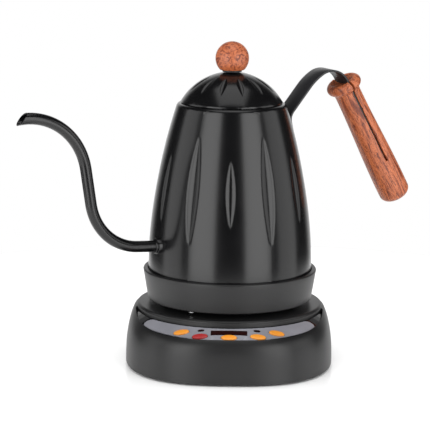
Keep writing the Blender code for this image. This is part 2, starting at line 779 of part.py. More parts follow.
def kettle_cup(kettle):
    """The plastic cup under the vessel, its floor, screws and the power socket."""
    slope = (CUP_TOP_R - CUP_BOTTOM_R) / CUP_H
    seat_r = BODY_R + GAP
    ledge_r = seat_r - CUP_LEDGE
    inner_low = CUP_BOTTOM_R - CUP_WALL
    top_arc = arc((CUP_TOP_R - CUP_EDGE, CUP_TOP_Z - CUP_EDGE), CUP_EDGE, math.pi / 2, 0, 3)
    low_arc = arc((CUP_BOTTOM_R - CUP_EDGE, CUP_Z + CUP_EDGE), CUP_EDGE, 0, -math.pi / 2, 3)
    low_arc = [(radius + slope * CUP_EDGE, height) for radius, height in low_arc]
    flange_top = FLANGE_Z + CUP_LEDGE
    flange_r = CUP_SCREW_RING_R - CUP_SCREW_HEAD_R - CUP_SCREW_R
    outline = [(seat_r, CUP_TOP_Z)] + top_arc + low_arc
    outline += [
        (inner_low, CUP_Z),
        (inner_low, FLANGE_Z),
        (flange_r, FLANGE_Z),
        (flange_r, flange_top),
        (inner_low, flange_top),
        (ledge_r, LEDGE_Z - CUP_LEDGE),
        (ledge_r, LEDGE_Z),
        (seat_r, LEDGE_Z),
    ]
    cup = turned("kettle_cup", outline, CHARCOAL, steps=WALL_STEPS, parent=kettle)

    floor_r = inner_low - GAP
    hub_r = SOCKET_R + GAP
    top = CUP_Z + FLOOR_T
    stand_in = STAND_R - CUP_WALL
    floor = turned(
        "cup_floor",
        [
            (hub_r, top),
            (floor_r, top),
            (floor_r, CUP_Z),
            (STAND_R, CUP_Z),
            (STAND_R, STAND_Z),
            (stand_in, STAND_Z),
            (stand_in, CUP_Z),
            (hub_r, CUP_Z),
        ],
        CHARCOAL,
        parent=kettle,
    )
    for i in range(3):
        angle = math.radians(90 + 120 * i)
        at = Matrix.Translation(
            (CUP_SCREW_RING_R * math.cos(angle), CUP_SCREW_RING_R * math.sin(angle), 0)
        )
        hole_r = CUP_SCREW_R + GAP
        hole_top = flange_top + GAP
        hole = rod(f"cup_screw_hole_{i}", hole_r, STAND_Z, hole_top, steps=12, parent=kettle, matrix=at)
        cut(cup, hole)
        cut(floor, hole)
        head_top = CUP_Z - GAP
        head_low = head_top - CUP_SCREW_HEAD_H
        tip = flange_top
        screw = [
            (0, tip),
            (CUP_SCREW_R, tip),
            (CUP_SCREW_R, head_top),
            (CUP_SCREW_HEAD_R, head_top),
            (CUP_SCREW_HEAD_R, head_low),
            (0, head_low),
        ]
        solid(f"cup_screw_{i + 1}", screw, STEEL, steps=12, parent=kettle, matrix=at)


def power_socket():
    """The round socket in the cup's floor. It is fully round, so the kettle turns freely."""
    low = STAND_Z + OVERRUN
    roof = POST_TOP_Z + SOCKET_CLEARANCE
    skirt_r = POST_R + SOCKET_CLEARANCE
    plug_r = POST_BORE_R - SOCKET_CLEARANCE
    bore_r = PIN_R + SOCKET_CLEARANCE
    outline = [
        (0, roof + SOCKET_ROOF),
        (SOCKET_R, roof + SOCKET_ROOF),
        (SOCKET_R, low),
        (skirt_r, low),
        (skirt_r, roof),
        (plug_r, roof),
        (plug_r, PLATFORM_Z),
        (bore_r, PLATFORM_Z),
        (bore_r, roof),
        (0, roof),
    ]
    solid("power_socket", outline, NYLON, steps=28)


def heater(kettle):
    """Bottom plate of the vessel with what is fixed under it."""
    plate_r = BODY_R - BODY_WALL - GAP
    rim_in = plate_r - PLATE_T
    rim_top = PLATE_Z + PLATE_RIM
    plate_top = PLATE_Z + PLATE_T
    outline = [
        (0, plate_top),
        (rim_in, plate_top),
        (rim_in, rim_top),
        (plate_r, rim_top),
        (plate_r, PLATE_Z),
        (0, PLATE_Z),
    ]
    plate = solid("heater_plate", outline, STEEL, steps=WALL_STEPS, parent=kettle)
    diffuser_top = DIFFUSER_Z + DIFFUSER_T
    diffuser = rod(
        "diffuser_plate", DIFFUSER_R, DIFFUSER_Z, diffuser_top, ALUMINIUM, steps=32, parent=kettle
    )
    height = DIFFUSER_Z - GAP - ELEMENT_R
    half = ELEMENT_OPEN / 2
    loop = arc((0, 0), ELEMENT_RING_R, half, 2 * math.pi - half, 24)
    route = [(x, y, height) for x, y in loop]
    pipe("heating_element", route, ELEMENT_R, STEEL, resolution=2, parent=kettle)

    # Probe and cutout stand midway between the power socket and the element.
    ring_r = (SOCKET_R + ELEMENT_RING_R - ELEMENT_R) / 2
    at = Matrix.Translation((0, ring_r, 0))
    probe_low = DIFFUSER_Z - CUTOUT_H
    rod("sensor_probe", PROBE_R, probe_low, plate_top + PROBE_UP, STEEL, parent=kettle, matrix=at)
    hole = rod("probe_hole", PROBE_R + GAP, probe_low, plate_top + OVERRUN, parent=kettle, matrix=at)
    cut(plate, hole)
    cut(diffuser, hole)
    at = Matrix.Translation((0, -ring_r, 0))
    cutout_top = DIFFUSER_Z - GAP
    rod(
        "thermal_cutout", CUTOUT_R, cutout_top - CUTOUT_H, cutout_top, NYLON, parent=kettle, matrix=at
    )


def on_body(height, side=1):
    """Placement on the body's outer face in the handle plane; local Z points out of the wall."""
    tilt = side * (math.pi / 2 - body_lean(height))
    return Matrix.Translation((side * body_radius(height), 0, height)) @ Matrix.Rotation(tilt, 4, "Y")


def rivet_heights():
    return [BODY_Z + STRAP_FOOT_UP + STRAP_FOOT_L * share for share in RIVET_SHARES]


def vessel(kettle):
    """The steel body with its mouth, and its holes for spout and rivets."""
    outer = body_wall()
    mouth = outer[0][1]
    collar_r = MOUTH_R + BODY_WALL
    inner = [(radius - BODY_WALL, height) for radius, height in reversed(outer[SHOULDER_FACETS:])]
    inner_top = mouth - BODY_WALL
    outline = [(MOUTH_R, mouth)] + outer + inner
    outline += [
        (collar_r, inner_top),
        (collar_r, mouth - MOUTH_DEPTH),
        (MOUTH_R, mouth - MOUTH_DEPTH),
    ]
    shell = turned("body_shell", outline, ENAMEL, steps=WALL_STEPS, parent=kettle)

    towards_spout = Matrix.Translation((0, 0, SPOUT_Z)) @ Matrix.Rotation(-math.pi / 2, 4, "Y")
    hole = rod(
        "spout_hole", SPOUT_R + GAP, BODY_SHOULDER_R, CUP_TOP_R, parent=kettle, matrix=towards_spout
    )
    cut(shell, hole)
    for i, height in enumerate(rivet_heights()):
        at = on_body(height)
        long = 2 * BODY_WALL + STRAP_T
        cut(shell, rod(f"rivet_hole_{i}", RIVET_R + GAP, -long, long, parent=kettle, matrix=at))
    ring(
        "body_seal",
        BODY_R - BODY_WALL - GAP - 2 * SEAL_T,
        BODY_R - CUP_LEDGE - GAP,
        LEDGE_Z - SEAL_T - GAP,
        LEDGE_Z - GAP,
        SILICONE,
        parent=kettle,
    )


def spout(kettle):
    """The swan-neck tube and its collar."""
    root = body_radius(SPOUT_Z)
    start = (root - SPOUT_INSIDE, SPOUT_Z - SPOUT_INSIDE * math.tan(SPOUT_RISE))
    steps = [
        ("run", SPOUT_INSIDE + SPOUT_FOOT),
        ("bend", SPOUT_BEND_R, SPOUT_STEEP),
        ("run", SPOUT_STEM),
        ("bend", SPOUT_NECK_R, SPOUT_DIP),
        ("run", SPOUT_END),
    ]
    path = walk(start, SPOUT_RISE, steps)
    tip = path[-1]
    steps[-1] = ("run", SPOUT_END + 2 * SPOUT_R)
    path = walk(start, SPOUT_RISE, steps)
    route = [(-x, 0, z) for x, z in path]
    tube = pipe("spout_tube", route, SPOUT_R, ENAMEL, resolution=4, caps=False, parent=kettle)
    wall = tube.modifiers.new("wall", "SOLIDIFY")
    wall.thickness = SPOUT_WALL
    wall.offset = -1
    block = box("spout_cut", (0.04, 0.04, 0.02), (0, 0, 0.01), parent=kettle)
    block.matrix_basis = Matrix.Translation((-tip[0], 0, tip[1])) @ Matrix.Rotation(
        -SPOUT_CUT, 4, "Y"
    )
    cut(tube, block)

    collar_end = root + COLLAR_L
    sleeve_end = collar_end + COLLAR_NECK_L
    low = root - 2 * COLLAR_L
    bore_r = SPOUT_R + GAP
    collar = turned(
        "spout_collar",
        [
            (bore_r, sleeve_end),
            (COLLAR_NECK_R, sleeve_end),
            (COLLAR_NECK_R, collar_end),
            (COLLAR_R, collar_end),
            (COLLAR_R, low),
            (bore_r, low),
        ],
        ENAMEL,
        steps=24,
        parent=kettle,
        matrix=Matrix.Translation((0, 0, SPOUT_Z)) @ Matrix.Rotation(-math.pi / 2, 4, "Y"),
    )
    # The tube rises slightly inside the level collar, so the bore is cut along the tube.
    along = Matrix.Translation((-root, 0, SPOUT_Z)) @ Matrix.Rotation(
        -math.pi / 2 + SPOUT_RISE, 4, "Y"
    )
    cut(collar, rod("collar_bore", bore_r, -4 * COLLAR_L, 4 * COLLAR_L, parent=kettle, matrix=along))
    skin = [(0, BODY_TOP_Z)]
    skin += [(radius + GAP, height) for radius, height in body_wall()[SHOULDER_FACETS:]]
    skin.append((0, BODY_Z))
    cut(collar, solid("body_skin", skin, steps=WALL_STEPS, parent=kettle))


def strap_path():
    """Centreline of the strap and the point where it enters the grip's top."""
    low = BODY_Z + STRAP_FOOT_UP
    offset = GAP + STRAP_T / 2
    middle = low + STRAP_FOOT_L / 2
    lean = body_lean(middle)
    # The strap's foot is a chord along the bulging wall, clear of the wall at its middle.
    out = body_radius(middle) + offset / math.cos(lean)
    half = STRAP_FOOT_L / 2 / math.cos(lean)
    start = (out + half * math.sin(lean), middle - half * math.cos(lean))
    into_grip = GRIP_TILT - math.pi / 2
    steps = [
        ("run", 2 * half),
        ("bend", STRAP_KINK_R, STRAP_RISE),
        ("run", STRAP_RUN),
        ("bend", STRAP_ARCH_R, STRAP_CREST),
        ("bend", STRAP_TURN_R, into_grip),
        ("run", GRIP_ENTRY),
    ]
    heading = math.pi / 2 + lean
    entry = walk(start, heading, steps)[-1]
    steps[-1] = ("run", GRIP_ENTRY + KERF_L - TONGUE_END)
    return walk(start, heading, steps), entry


def ribbon(path, thickness):
    """Closed outline of a strip of even thickness along a path."""
    left, right = [], []
    for i, (x, y) in enumerate(path):
        before = path[max(0, i - 1)]
        after = path[min(len(path) - 1, i + 1)]
        run = math.hypot(after[0] - before[0], after[1] - before[1])
        nx, ny = (before[1] - after[1]) / run, (after[0] - before[0]) / run
        left.append((x + nx * thickness / 2, y + ny * thickness / 2))
        right.append((x - nx * thickness / 2, y - ny * thickness / 2))
    return left + right[::-1]


def grip_profile():
    """The turned wood from its dished top to its round end: radius and distance along its axis."""
    dish = [(0, GRIP_DISH), (0.7 * GRIP_DISH_R, 0.9 * GRIP_DISH), (GRIP_DISH_R, 0.35 * GRIP_DISH)]
    bead_at = (GRIP_BEAD_R - GRIP_BEAD_ROUND, GRIP_BEAD_ROUND)
    bead = arc(bead_at, GRIP_BEAD_ROUND, -math.pi / 2, math.pi / 4, 4)
    handle = [(GRIP_NECK_R + 2 * GAP, GRIP_BEAD_L), (GRIP_NECK_R, GRIP_NECK_L)]
    swell_l = GRIP_L - GRIP_END_L - GRIP_NECK_L
    swell = 5
    for i in range(1, swell + 1):
        share = i / swell
        blend = (1 - math.cos(math.pi * share)) / 2
        radius = GRIP_NECK_R + (GRIP_SWELL_R - GRIP_NECK_R) * blend
        handle.append((radius, GRIP_NECK_L + swell_l * share))
    end_at = (GRIP_SWELL_R - GRIP_END_ROUND, GRIP_L - GRIP_END_ROUND)
    handle += arc(end_at, GRIP_END_ROUND, math.pi / 16, math.pi / 2, 4)
    return dish + bead + handle + [(0, GRIP_L)]


def handle(kettle):
    """Steel strap, rivets, wooden grip and its pins."""
    path, entry = strap_path()
    upright = Matrix.Rotation(math.pi / 2, 4, "X")
    half = STRAP_W / 2
    strap = prism(
        "handle_strap", ribbon(path, STRAP_T), -half, half, STRAP_BLACK, parent=kettle, matrix=upright
    )
    for i, height in enumerate(rivet_heights()):
        at = on_body(height)
        long = 2 * BODY_WALL + STRAP_T
        rivet_gap = GAP + chord_lift(height)
        seat = STRAP_T + rivet_gap + GAP
        inside = BODY_WALL + GAP
        head = [(RIVET_HEAD_R * math.cos(a), seat + RIVET_HEAD_H * math.sin(a)) for a in dome_turns()]
        rivet = head + [
            (RIVET_R, seat),
            (RIVET_R, -inside),
            (RIVET_HEAD_R, -inside),
            (RIVET_HEAD_R, -inside - RIVET_HEAD_H / 2),
            (0, -inside - RIVET_HEAD_H / 2),
        ]
        solid(f"strap_rivet_{i + 1}", rivet, STRAP_BLACK, steps=12, parent=kettle, matrix=at)
        cut(strap, rod(f"strap_hole_{i}", RIVET_R + GAP, -long, 2 * long, parent=kettle, matrix=at))

    # The grip's local Z runs down its axis from its top.
    down = Matrix.Translation((entry[0], 0, entry[1])) @ Matrix.Rotation(math.pi - GRIP_TILT, 4, "Y")
    profile = [(radius, distance) for radius, distance in reversed(grip_profile())]
    grip = solid("handle_grip", profile, WOOD, steps=24, parent=kettle, matrix=down)
    kerf = STRAP_T + 2 * GAP
    slot = box(
        "grip_kerf",
        (kerf, 4 * GRIP_BEAD_R, KERF_L + GRIP_ENTRY),
        (0, 0, (KERF_L - GRIP_ENTRY) / 2),
        parent=kettle,
        matrix=down,
    )
    cut(grip, slot)
    for i, share in enumerate(GRIP_PIN_SHARES):
        along = down @ Matrix.Translation((0, 0, KERF_L * share)) @ Matrix.Rotation(-math.pi / 2, 4, "Y")
        flush = GRIP_NECK_R - OVERRUN / 2
        low = flush - GRIP_PIN_L
        rod(f"grip_pin_{i + 1}", GRIP_PIN_R, low, flush, BRASS, steps=16, parent=kettle, matrix=along)
        bore = rod(
            f"pin_bore_{i}",
            GRIP_PIN_R + GAP,
            low - GAP,
            2 * GRIP_BEAD_R,
            steps=16,
            parent=kettle,
            matrix=along,
        )
        cut(grip, bore)
        cut(strap, bore)


def dome_turns():
    return [math.pi / 2 * (1 - i / 4) for i in range(5)]


def chord_lift(height):
    """How far the straight strap foot stands off the bulging wall at a height."""
    middle = BODY_Z + STRAP_FOOT_UP + STRAP_FOOT_L / 2
    chord = body_radius(middle) - (height - middle) * math.tan(body_lean(middle))
    return (chord - body_radius(height)) * math.cos(body_lean(middle))


# Lid


def lid(lid_axis):
    """Dome, inner plate, seal, and the knob with its washer and screw."""
    rim_z = mouth_z() + GAP
    dome_z = rim_z + LID_LIP
    sphere_r = (LID_R ** 2 + LID_RISE ** 2) / (2 * LID_RISE)
    centre = (0, dome_z + LID_RISE - sphere_r)
    opening = math.asin(LID_R / sphere_r)
    hole_r = KNOB_SCREW_R + GAP
    first = math.asin(hole_r / sphere_r)
    outer = arc(centre, sphere_r, math.pi / 2 - first, math.pi / 2 - opening, 7)
    inner_r = sphere_r - LID_WALL
    last = math.asin((LID_R - LID_WALL) / inner_r)
    inner = arc(centre, inner_r, math.pi / 2 - last, math.pi / 2 - math.asin(hole_r / inner_r), 5)
    outline = outer + [(LID_R, rim_z), (LID_R - LID_WALL, rim_z)] + inner
    turned("lid_dome", outline, ENAMEL, parent=lid_axis)

    plate_r = LID_SKIRT_R
    plate_top = rim_z - 2 * GAP + LID_WALL
    skirt_low = plate_top - LID_SKIRT_H
    inner_plate = [
        (0, plate_top),
        (plate_r, plate_top),
        (plate_r, skirt_low),
        (plate_r - LID_WALL, skirt_low),
        (plate_r - LID_WALL, plate_top - LID_WALL),
        (0, plate_top - LID_WALL),
    ]
    solid("lid_inner_plate", inner_plate, STEEL, parent=lid_axis)
    seal_low = skirt_low + LID_SEAL_H
    ring(
        "lid_seal",
        plate_r + GAP,
        MOUTH_R - LID_CLEARANCE,
        seal_low,
        seal_low + LID_SEAL_H,
        SILICONE,
    )

    washer_low = dome_z + LID_RISE + GAP
    washer_top = washer_low + WASHER_T
    ring("knob_washer", hole_r, WASHER_R, washer_low, washer_top, NYLON, 24, parent=lid_axis)
    flat_z = washer_top + GAP
    ball = (0, flat_z + KNOB_FLAT)
    low_angle = -math.asin(KNOB_FLAT / KNOB_R)
    tip = flat_z + KNOB_SCREW_IN
    profile = arc(ball, KNOB_R, math.pi / 2, low_angle, 10)
    profile[0] = (0, ball[1] + KNOB_R)
    profile += [(hole_r, flat_z), (hole_r, tip), (0, tip)]
    solid("lid_knob", profile, WOOD, steps=28, parent=lid_axis)
    head_top = dome_z + LID_RISE - LID_WALL - 2 * GAP
    head_r = 2 * KNOB_SCREW_R
    screw = [
        (0, tip - GAP),
        (KNOB_SCREW_R, tip - GAP),
        (KNOB_SCREW_R, head_top),
        (head_r, head_top),
        (head_r, head_top - KNOB_SCREW_R),
        (0, head_top - KNOB_SCREW_R),
    ]
    solid("knob_screw", screw, STEEL, steps=12, parent=lid_axis)


def main():
    shell = base_housing()
    control_panel(shell)
    power_supply(shell)
    base_connector(shell)
    kettle = empty("kettle_axis", turn=SWIVEL)
    kettle_cup(kettle)
    power_socket()
    heater(kettle)
    vessel(kettle)
    spout(kettle)
    handle(kettle)
    lid(empty("lid_axis", parent=kettle))


main()
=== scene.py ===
"""Visual model of an electric gooseneck kettle, built around its CAD frame.

Metres, +Z up. The kettle's axis is the Z axis, the table is z = 0, and the base's control
panel faces -Y. The kettle stands turned by SWIVEL: in its own frame the spout points towards
-X and the handle towards +X.
"""

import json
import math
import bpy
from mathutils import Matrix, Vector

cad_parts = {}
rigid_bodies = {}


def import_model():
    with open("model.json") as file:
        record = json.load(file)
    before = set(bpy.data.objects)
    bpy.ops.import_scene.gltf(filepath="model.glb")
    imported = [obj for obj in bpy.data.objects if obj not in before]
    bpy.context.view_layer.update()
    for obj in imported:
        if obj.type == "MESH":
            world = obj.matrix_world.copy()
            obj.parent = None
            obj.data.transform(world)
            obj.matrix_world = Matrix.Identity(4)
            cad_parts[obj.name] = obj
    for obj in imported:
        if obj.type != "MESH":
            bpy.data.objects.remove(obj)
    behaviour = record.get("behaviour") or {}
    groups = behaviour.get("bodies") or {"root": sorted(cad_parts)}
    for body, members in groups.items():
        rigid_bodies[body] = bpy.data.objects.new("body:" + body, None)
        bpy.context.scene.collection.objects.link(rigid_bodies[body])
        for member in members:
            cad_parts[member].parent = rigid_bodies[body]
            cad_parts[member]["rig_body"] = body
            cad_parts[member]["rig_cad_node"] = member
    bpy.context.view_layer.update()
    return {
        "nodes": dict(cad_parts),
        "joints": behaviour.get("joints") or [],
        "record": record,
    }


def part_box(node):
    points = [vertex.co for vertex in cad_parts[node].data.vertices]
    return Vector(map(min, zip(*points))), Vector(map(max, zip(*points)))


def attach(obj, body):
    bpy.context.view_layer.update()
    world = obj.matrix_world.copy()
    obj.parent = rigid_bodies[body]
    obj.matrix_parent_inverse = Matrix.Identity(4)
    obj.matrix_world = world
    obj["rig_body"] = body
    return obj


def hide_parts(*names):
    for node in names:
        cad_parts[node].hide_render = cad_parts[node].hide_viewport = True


bl_info = {
    "name": "Gooseneck Kettle",
    "version": (1, 0, 0),
    "blender": (4, 5, 0),
    "location": "View3D > Sidebar > Kettle",
    "description": "Builds the surfaces of an electric gooseneck kettle around its CAD frame",
    "category": "Object",
}

import bpy
from bpy.props import FloatProperty, FloatVectorProperty, PointerProperty
from mathutils import Euler, Matrix, Vector

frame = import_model()
BOXES = {name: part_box(name) for name in frame["nodes"]}

MM = 0.001
WELD = 1e-6
CLEARANCE = 0.3 * MM
PATCH = 25 * MM  # size of the slow patches in a finish
FLOOR_PATCH = 1 / 30
SWIVEL = Matrix.Rotation(math.radians(30), 4, "Z")
FLUTES = 12
FLUTE_COLUMNS = 24  # columns of points for each flute and the wall beside it
RIVET_SHARES = (0.22, 0.78)
PIN_SHARES = (0.35, 0.75)
SIDE_CURVE, FRONT_CURVE, ROUNDING_CURVE = 2.8, 7, 8  # how the housing's wall leans in

# Area lights: azimuth from the front in degrees, distance, height, size, power
LIGHTS = {
    "left_softbox": (-39, 1.3, 0.25, (0.85, 1.5), 12),
    "right_softbox": (39, 1.3, 0.25, (0.85, 1.5), 12),
    "left_fill": (-88, 1.4, 0.3, (0.9, 1.4), 5),
    "right_fill": (88, 1.4, 0.3, (0.9, 1.4), 5),
    "top_light": (0, 0.2, 1.5, (1.2, 1.2), 6),
}
LIGHTS_AIM = (0, 0, 0.13)


# Sizes and colours


def linear(hex_colour):
    """Scene-linear red, green and blue of an sRGB hex colour."""
    def channel(pair):
        value = int(pair, 16) / 255
        return value / 12.92 if value <= 0.04045 else ((value + 0.055) / 1.055) ** 2.4
    return tuple(channel(hex_colour[i:i + 2]) for i in (1, 3, 5))


def length(name, description, millimetres):
    return FloatProperty(
        name=name, description=description, default=millimetres * MM, min=0.0, precision=5, unit="LENGTH"
    )


def turn(name, description, degrees):
    return FloatProperty(
        name=name, description=description, default=math.radians(degrees), subtype="ANGLE"
    )


def number(name, description, value):
    return FloatProperty(name=name, description=description, default=value, min=0.0)


def colour(name, description, hex_colour):
    return FloatVectorProperty(
        name=name, description=description, default=linear(hex_colour), min=0.0, max=1.0, subtype="COLOR"
    )


class KettleSizes(bpy.types.PropertyGroup):
    """Sizes of the vessel, lid, spout and handle."""

    body_radius: length("Body radius", "Outer radius where the body meets the cup", 65.1)
    shoulder_radius: length("Shoulder radius", "Outer radius under the rounded shoulder", 43.7)
    body_height: length("Body height", "From the lower edge to the shoulder", 133.3)
    body_taper: number("Body taper", "Exponent of the body's outline", 1.88)
    shoulder_round: length("Shoulder round", "Radius of the body's rounded shoulder", 3.6)
    sheet: length("Sheet", "Thickness of the steel sheet", 1.0)
    mouth_lip: length("Mouth lip", "Flat of the mouth's rim inside the round", 1.2)
    mouth_edge: length("Mouth edge", "Radius where the rim turns down", 0.5)
    mouth_depth: length("Mouth depth", "How far the mouth's rim turns down", 4.0)
    flute_depth: length("Flute depth", "Depth of the pressed flutes in the body", 1.2)
    long_flute_low: length("Long flute, low end", "Height of the long flutes' lower tips", 104.0)
    long_flute_high: length("Long flute, high end", "Height of the long flutes' upper tips", 184.0)
    long_flute_width: length("Long flute width", "Widest part of a long flute", 9.6)
    short_flute_low: length("Short flute, low end", "Height of the short flutes' lower tips", 117.0)
    short_flute_high: length("Short flute, high end", "Height of the short flutes' upper tips", 168.0)
    short_flute_width: length("Short flute width", "Widest part of a short flute", 7.4)
    cup_edge: length("Cup edge", "Radius of the cup's edges", 1.2)
    cup_wall: length("Cup wall", "Wall of the cup", 3.4)
    cup_ledge: length("Cup ledge", "Width of the ledge that the body sits on", 2.0)
    cup_seat: length("Cup seat", "Depth of the ledge under the cup's rim", 4.2)
    cup_floor_radius: length("Cup foot", "Outer radius of the cup's foot", 65.4)
    lid_lip: length("Lid lip", "Upright edge of the lid", 0.8)
    lid_flute_depth: length("Lid flute depth", "Depth of the dents in the lid", 0.9)
    lid_flute_width: length("Lid flute width", "Widest part of a dent in the lid", 4.6)
    lid_flute_low: turn("Lid flute, low end", "Angle from the lid's top to the dents' lower tips", 47.0)
    lid_flute_high: turn("Lid flute, high end", "Angle from the top to the dents' upper tips", 22.0)
    ball_dimple: length("Ball flat", "Radius of the inner ring of the ball's flat", 2.4)
    ball_radius: length("Ball radius", "Radius of the lid's wooden ball", 13.2)
    spout_radius: length("Spout radius", "Outer radius of the spout", 4.5)
    spout_wall: length("Spout wall", "Wall of the spout", 0.9)
    spout_up: length("Spout height", "Root's axis above the body's lower edge", 26.2)
    spout_inside: length("Spout inside", "Length of the spout inside the body", 3.0)
    spout_rise: turn("Spout rise", "Rise of the spout at its root", 4.0)
    spout_foot: length("Spout foot", "Straight run outside the body", 19.5)
    spout_bend: length("Spout bend", "Radius of the lower bend", 43.5)
    spout_steep: turn("Spout steep", "Rise of the stem", 81.0)
    spout_stem: length("Spout stem", "Straight run between the bends", 28.0)
    spout_neck: length("Spout neck", "Radius of the upper bend", 50.0)
    spout_dip: turn("Spout dip", "Heading at the tip", -4.0)
    spout_end: length("Spout end", "Straight run before the cut", 0.5)
    spout_cut: turn("Spout cut", "Slant of the cut at the tip", 50.0)
    ferrule_neck: length("Ferrule neck", "Wall of the ferrule's neck", 1.0)
    ferrule_step: length("Ferrule step", "How far the ferrule stands over its neck", 0.7)
    ferrule_length: length("Ferrule length", "From the body to the neck", 3.0)
    ferrule_neck_length: length("Ferrule neck length", "Length of the neck", 1.6)
    ferrule_root: length("Ferrule root", "Length of the ferrule inside the body", 2.5)
    foot_up: length("Strap foot height", "Lower end above the body's lower edge", 93.0)
    foot_length: length("Strap foot", "Length that lies on the body", 25.0)
    foot_round: length("Foot corners", "Rounding of the strap's lower corners", 5.0)
    kink_radius: length("Kink radius", "Radius of the bend away from the body", 10.0)
    strap_rise: turn("Strap rise", "Rise of the strap's run", 50.0)
    strap_run: length("Strap run", "Straight run of the strap", 24.0)
    arch_radius: length("Arch radius", "Radius of the strap's arch", 45.0)
    strap_crest: turn("Strap crest", "Heading where the arch tightens", 30.0)
    drop_radius: length("Drop radius", "Radius of the bend into the grip", 17.0)
    strap_lead: length("Strap lead", "Straight run before the wood", 1.0)
    rivet_radius: length("Rivet head", "Radius of a rivet's head", 3.4)
    rivet_shaft: length("Rivet shaft", "Radius of a rivet's shaft", 1.9)
    rivet_height: length("Rivet dome", "Height of a rivet's dome", 1.6)
    strap_width: length("Strap width", "Width of the handle's steel strap", 20.0)
    strap_thickness: length("Strap thickness", "Thickness of the handle's steel strap", 1.5)
    grip_tilt: turn("Grip tilt", "Lean of the wooden grip from the vertical", 29.5)
    grip_length: length("Grip length", "Length of the wooden grip", 114.5)
    bead_radius: length("Bead radius", "Radius of the bead at the grip's top", 14.6)
    neck_radius: length("Neck radius", "Radius of the grip under its bead", 10.7)
    swell_radius: length("Swell radius", "Largest radius of the grip's lower part", 12.8)
    grip_end: length("Grip end", "Rounding of the grip's lower end", 6.5)
    bead_round: length("Bead round", "Edge radius of the grip's bead", 4.4)
    neck_at: length("Neck place", "From the grip's top to its neck", 12.5)
    swell_end: length("Swell end", "From the swell to the grip's end", 14.0)
    pin_bore: length("Pin bore", "Radius of the bores for the pins", 1.8)
    kerf_length: length("Kerf length", "Length of the slot sawn down the grip", 77.0)


class BaseSizes(bpy.types.PropertyGroup):
    """Sizes of the power base and its control panel."""

    side: length("Side", "From the axis to either side and to the back", 82.3)
    front: length("Front", "From the axis to the front", 95.2)
    squareness: number("Squareness", "Exponent of the base's plan at the table", 2.6)
    platform_radius: length("Platform radius", "Radius of the round platform", 74.0)
    platform_step: length("Platform step", "Height of the platform over the shoulder", 3.0)
    platform_bead: length("Platform bead", "Edge radius of the platform", 2.2)
    shoulder_radius: length("Shoulder radius", "Radius at the top of the sloping side", 75.5)
    wall: length("Wall", "Wall of the housing", 2.5)
    hollow_drop: length("Hollow drop", "From the shoulder to the hollow's roof", 9.0)
    neck_up: length("Platform foot", "From the shoulder to the platform's upright", 1.2)
    panel_slope: turn("Panel slope", "Fall of the control panel towards the front", 25.0)
    panel_drop: length("Panel drop", "From the platform's top to the panel's inner edge", 4.2)
    recess_front: length("Recess front", "From the axis to the recess's front", 90.3)
    recess_side: length("Recess side", "From the axis to the recess's sides", 74.6)
    recess_inner: length("Recess inner radius", "Radius of the recess's inner edge", 74.3)
    recess_back: length("Recess ends", "How far in front of the axis the recess ends", 14.0)
    recess_depth: length("Recess depth", "Depth of the recess under the label", 2.3)
    key_half_x: length("Key half length", "Half the length of an oval key", 6.1)
    key_half_y: length("Key half width", "Half the width of an oval key", 3.0)
    key_length: length("Key length", "Height of a whole key", 6.4)
    key_edge: length("Key edge", "Edge radius of a key", 0.7)
    key_crown: length("Key crown", "Crown of a key's top", 0.15)
    key_skirt: length("Key skirt", "Height of a key's cap", 2.3)


class KettleColours(bpy.types.PropertyGroup):
    """Colours of the finishes."""

    enamel: colour("Enamel", "Baked black enamel", "#070708")
    plastic: colour("Plastic", "Charcoal moulded plastic", "#080809")
    gloss: colour("Gloss", "Polished black plastic round the label", "#0A0A0C")
    label: colour("Label", "Silver-grey printed label", "#7C7C83")
    strap: colour("Strap", "Powder-coated strap", "#1B1B1D")
    wood_light: colour("Light wood", "Light bands of the wood", "#AE5F38")
    wood_dark: colour("Dark wood", "Dark bands of the wood", "#652811")
    wood_pore: colour("Wood pores", "Pores and fine streaks of the wood", "#32120A")
    amber: colour("Amber key", "Amber key caps", "#C97F1C")
    red: colour("Red key", "Red key cap", "#8E1719")
    lens: colour("Lens", "Smoked red display window", "#1A0606")
    steel: colour("Steel", "Bare stainless steel", "#B4B4B6")
    floor: colour("Floor", "Pale floor", "#F4F4F4")


class StageSettings(bpy.types.PropertyGroup):
    """Camera and floor."""

    distance: length("Distance", "From the camera to the kettle's axis", 1750.0)
    height: length("Height", "Height of the camera", 446.75)
    pitch: turn("Pitch", "How far the camera looks down", 10.697)
    roll: turn("Roll", "Roll of the camera", 0.688)
    lens: number("Lens", "Focal length in millimetres on a 36 mm sensor", 187.2)
    shift: number("Shift", "Sideways shift of the picture, as a share of its width, to the left", 0.0358)
    floor_radius: length("Floor radius", "Radius of the floor", 450.0)


# Modelling tools


def set_down():
    """Leaves edit mode and deselects everything."""
    if bpy.context.mode != "OBJECT":
        bpy.ops.object.mode_set(mode="OBJECT")
    bpy.ops.object.select_all(action="DESELECT")


def take(piece):
    """Makes a piece the only selected and active object."""
    set_down()
    piece.select_set(True)
    bpy.context.view_layer.objects.active = piece
    return piece


def open_up(piece):
    """Enters edit mode with all of a piece selected."""
    take(piece)
    bpy.ops.object.mode_set(mode="EDIT")
    bpy.ops.mesh.select_all(action="SELECT")
    return piece


def settle(piece, place=None):
    """Puts a place, or the piece's own, into the piece's mesh."""
    take(piece)
    if place is not None:
        piece.matrix_world = place
    bpy.ops.object.transform_apply(location=True, rotation=True, scale=True)
    return piece


def named(name):
    """Names the primitive that was just added and puts its place into its mesh."""
    piece = bpy.context.object
    piece.name = piece.data.name = name
    return settle(piece)


def arc(centre, radius, start, end, count):
    """Points on an arc, both ends included; angles in degrees."""
    turns = [math.radians(start + (end - start) * i / count) for i in range(count + 1)]
    return [(centre[0] + radius * math.cos(a), centre[1] + radius * math.sin(a)) for a in turns]


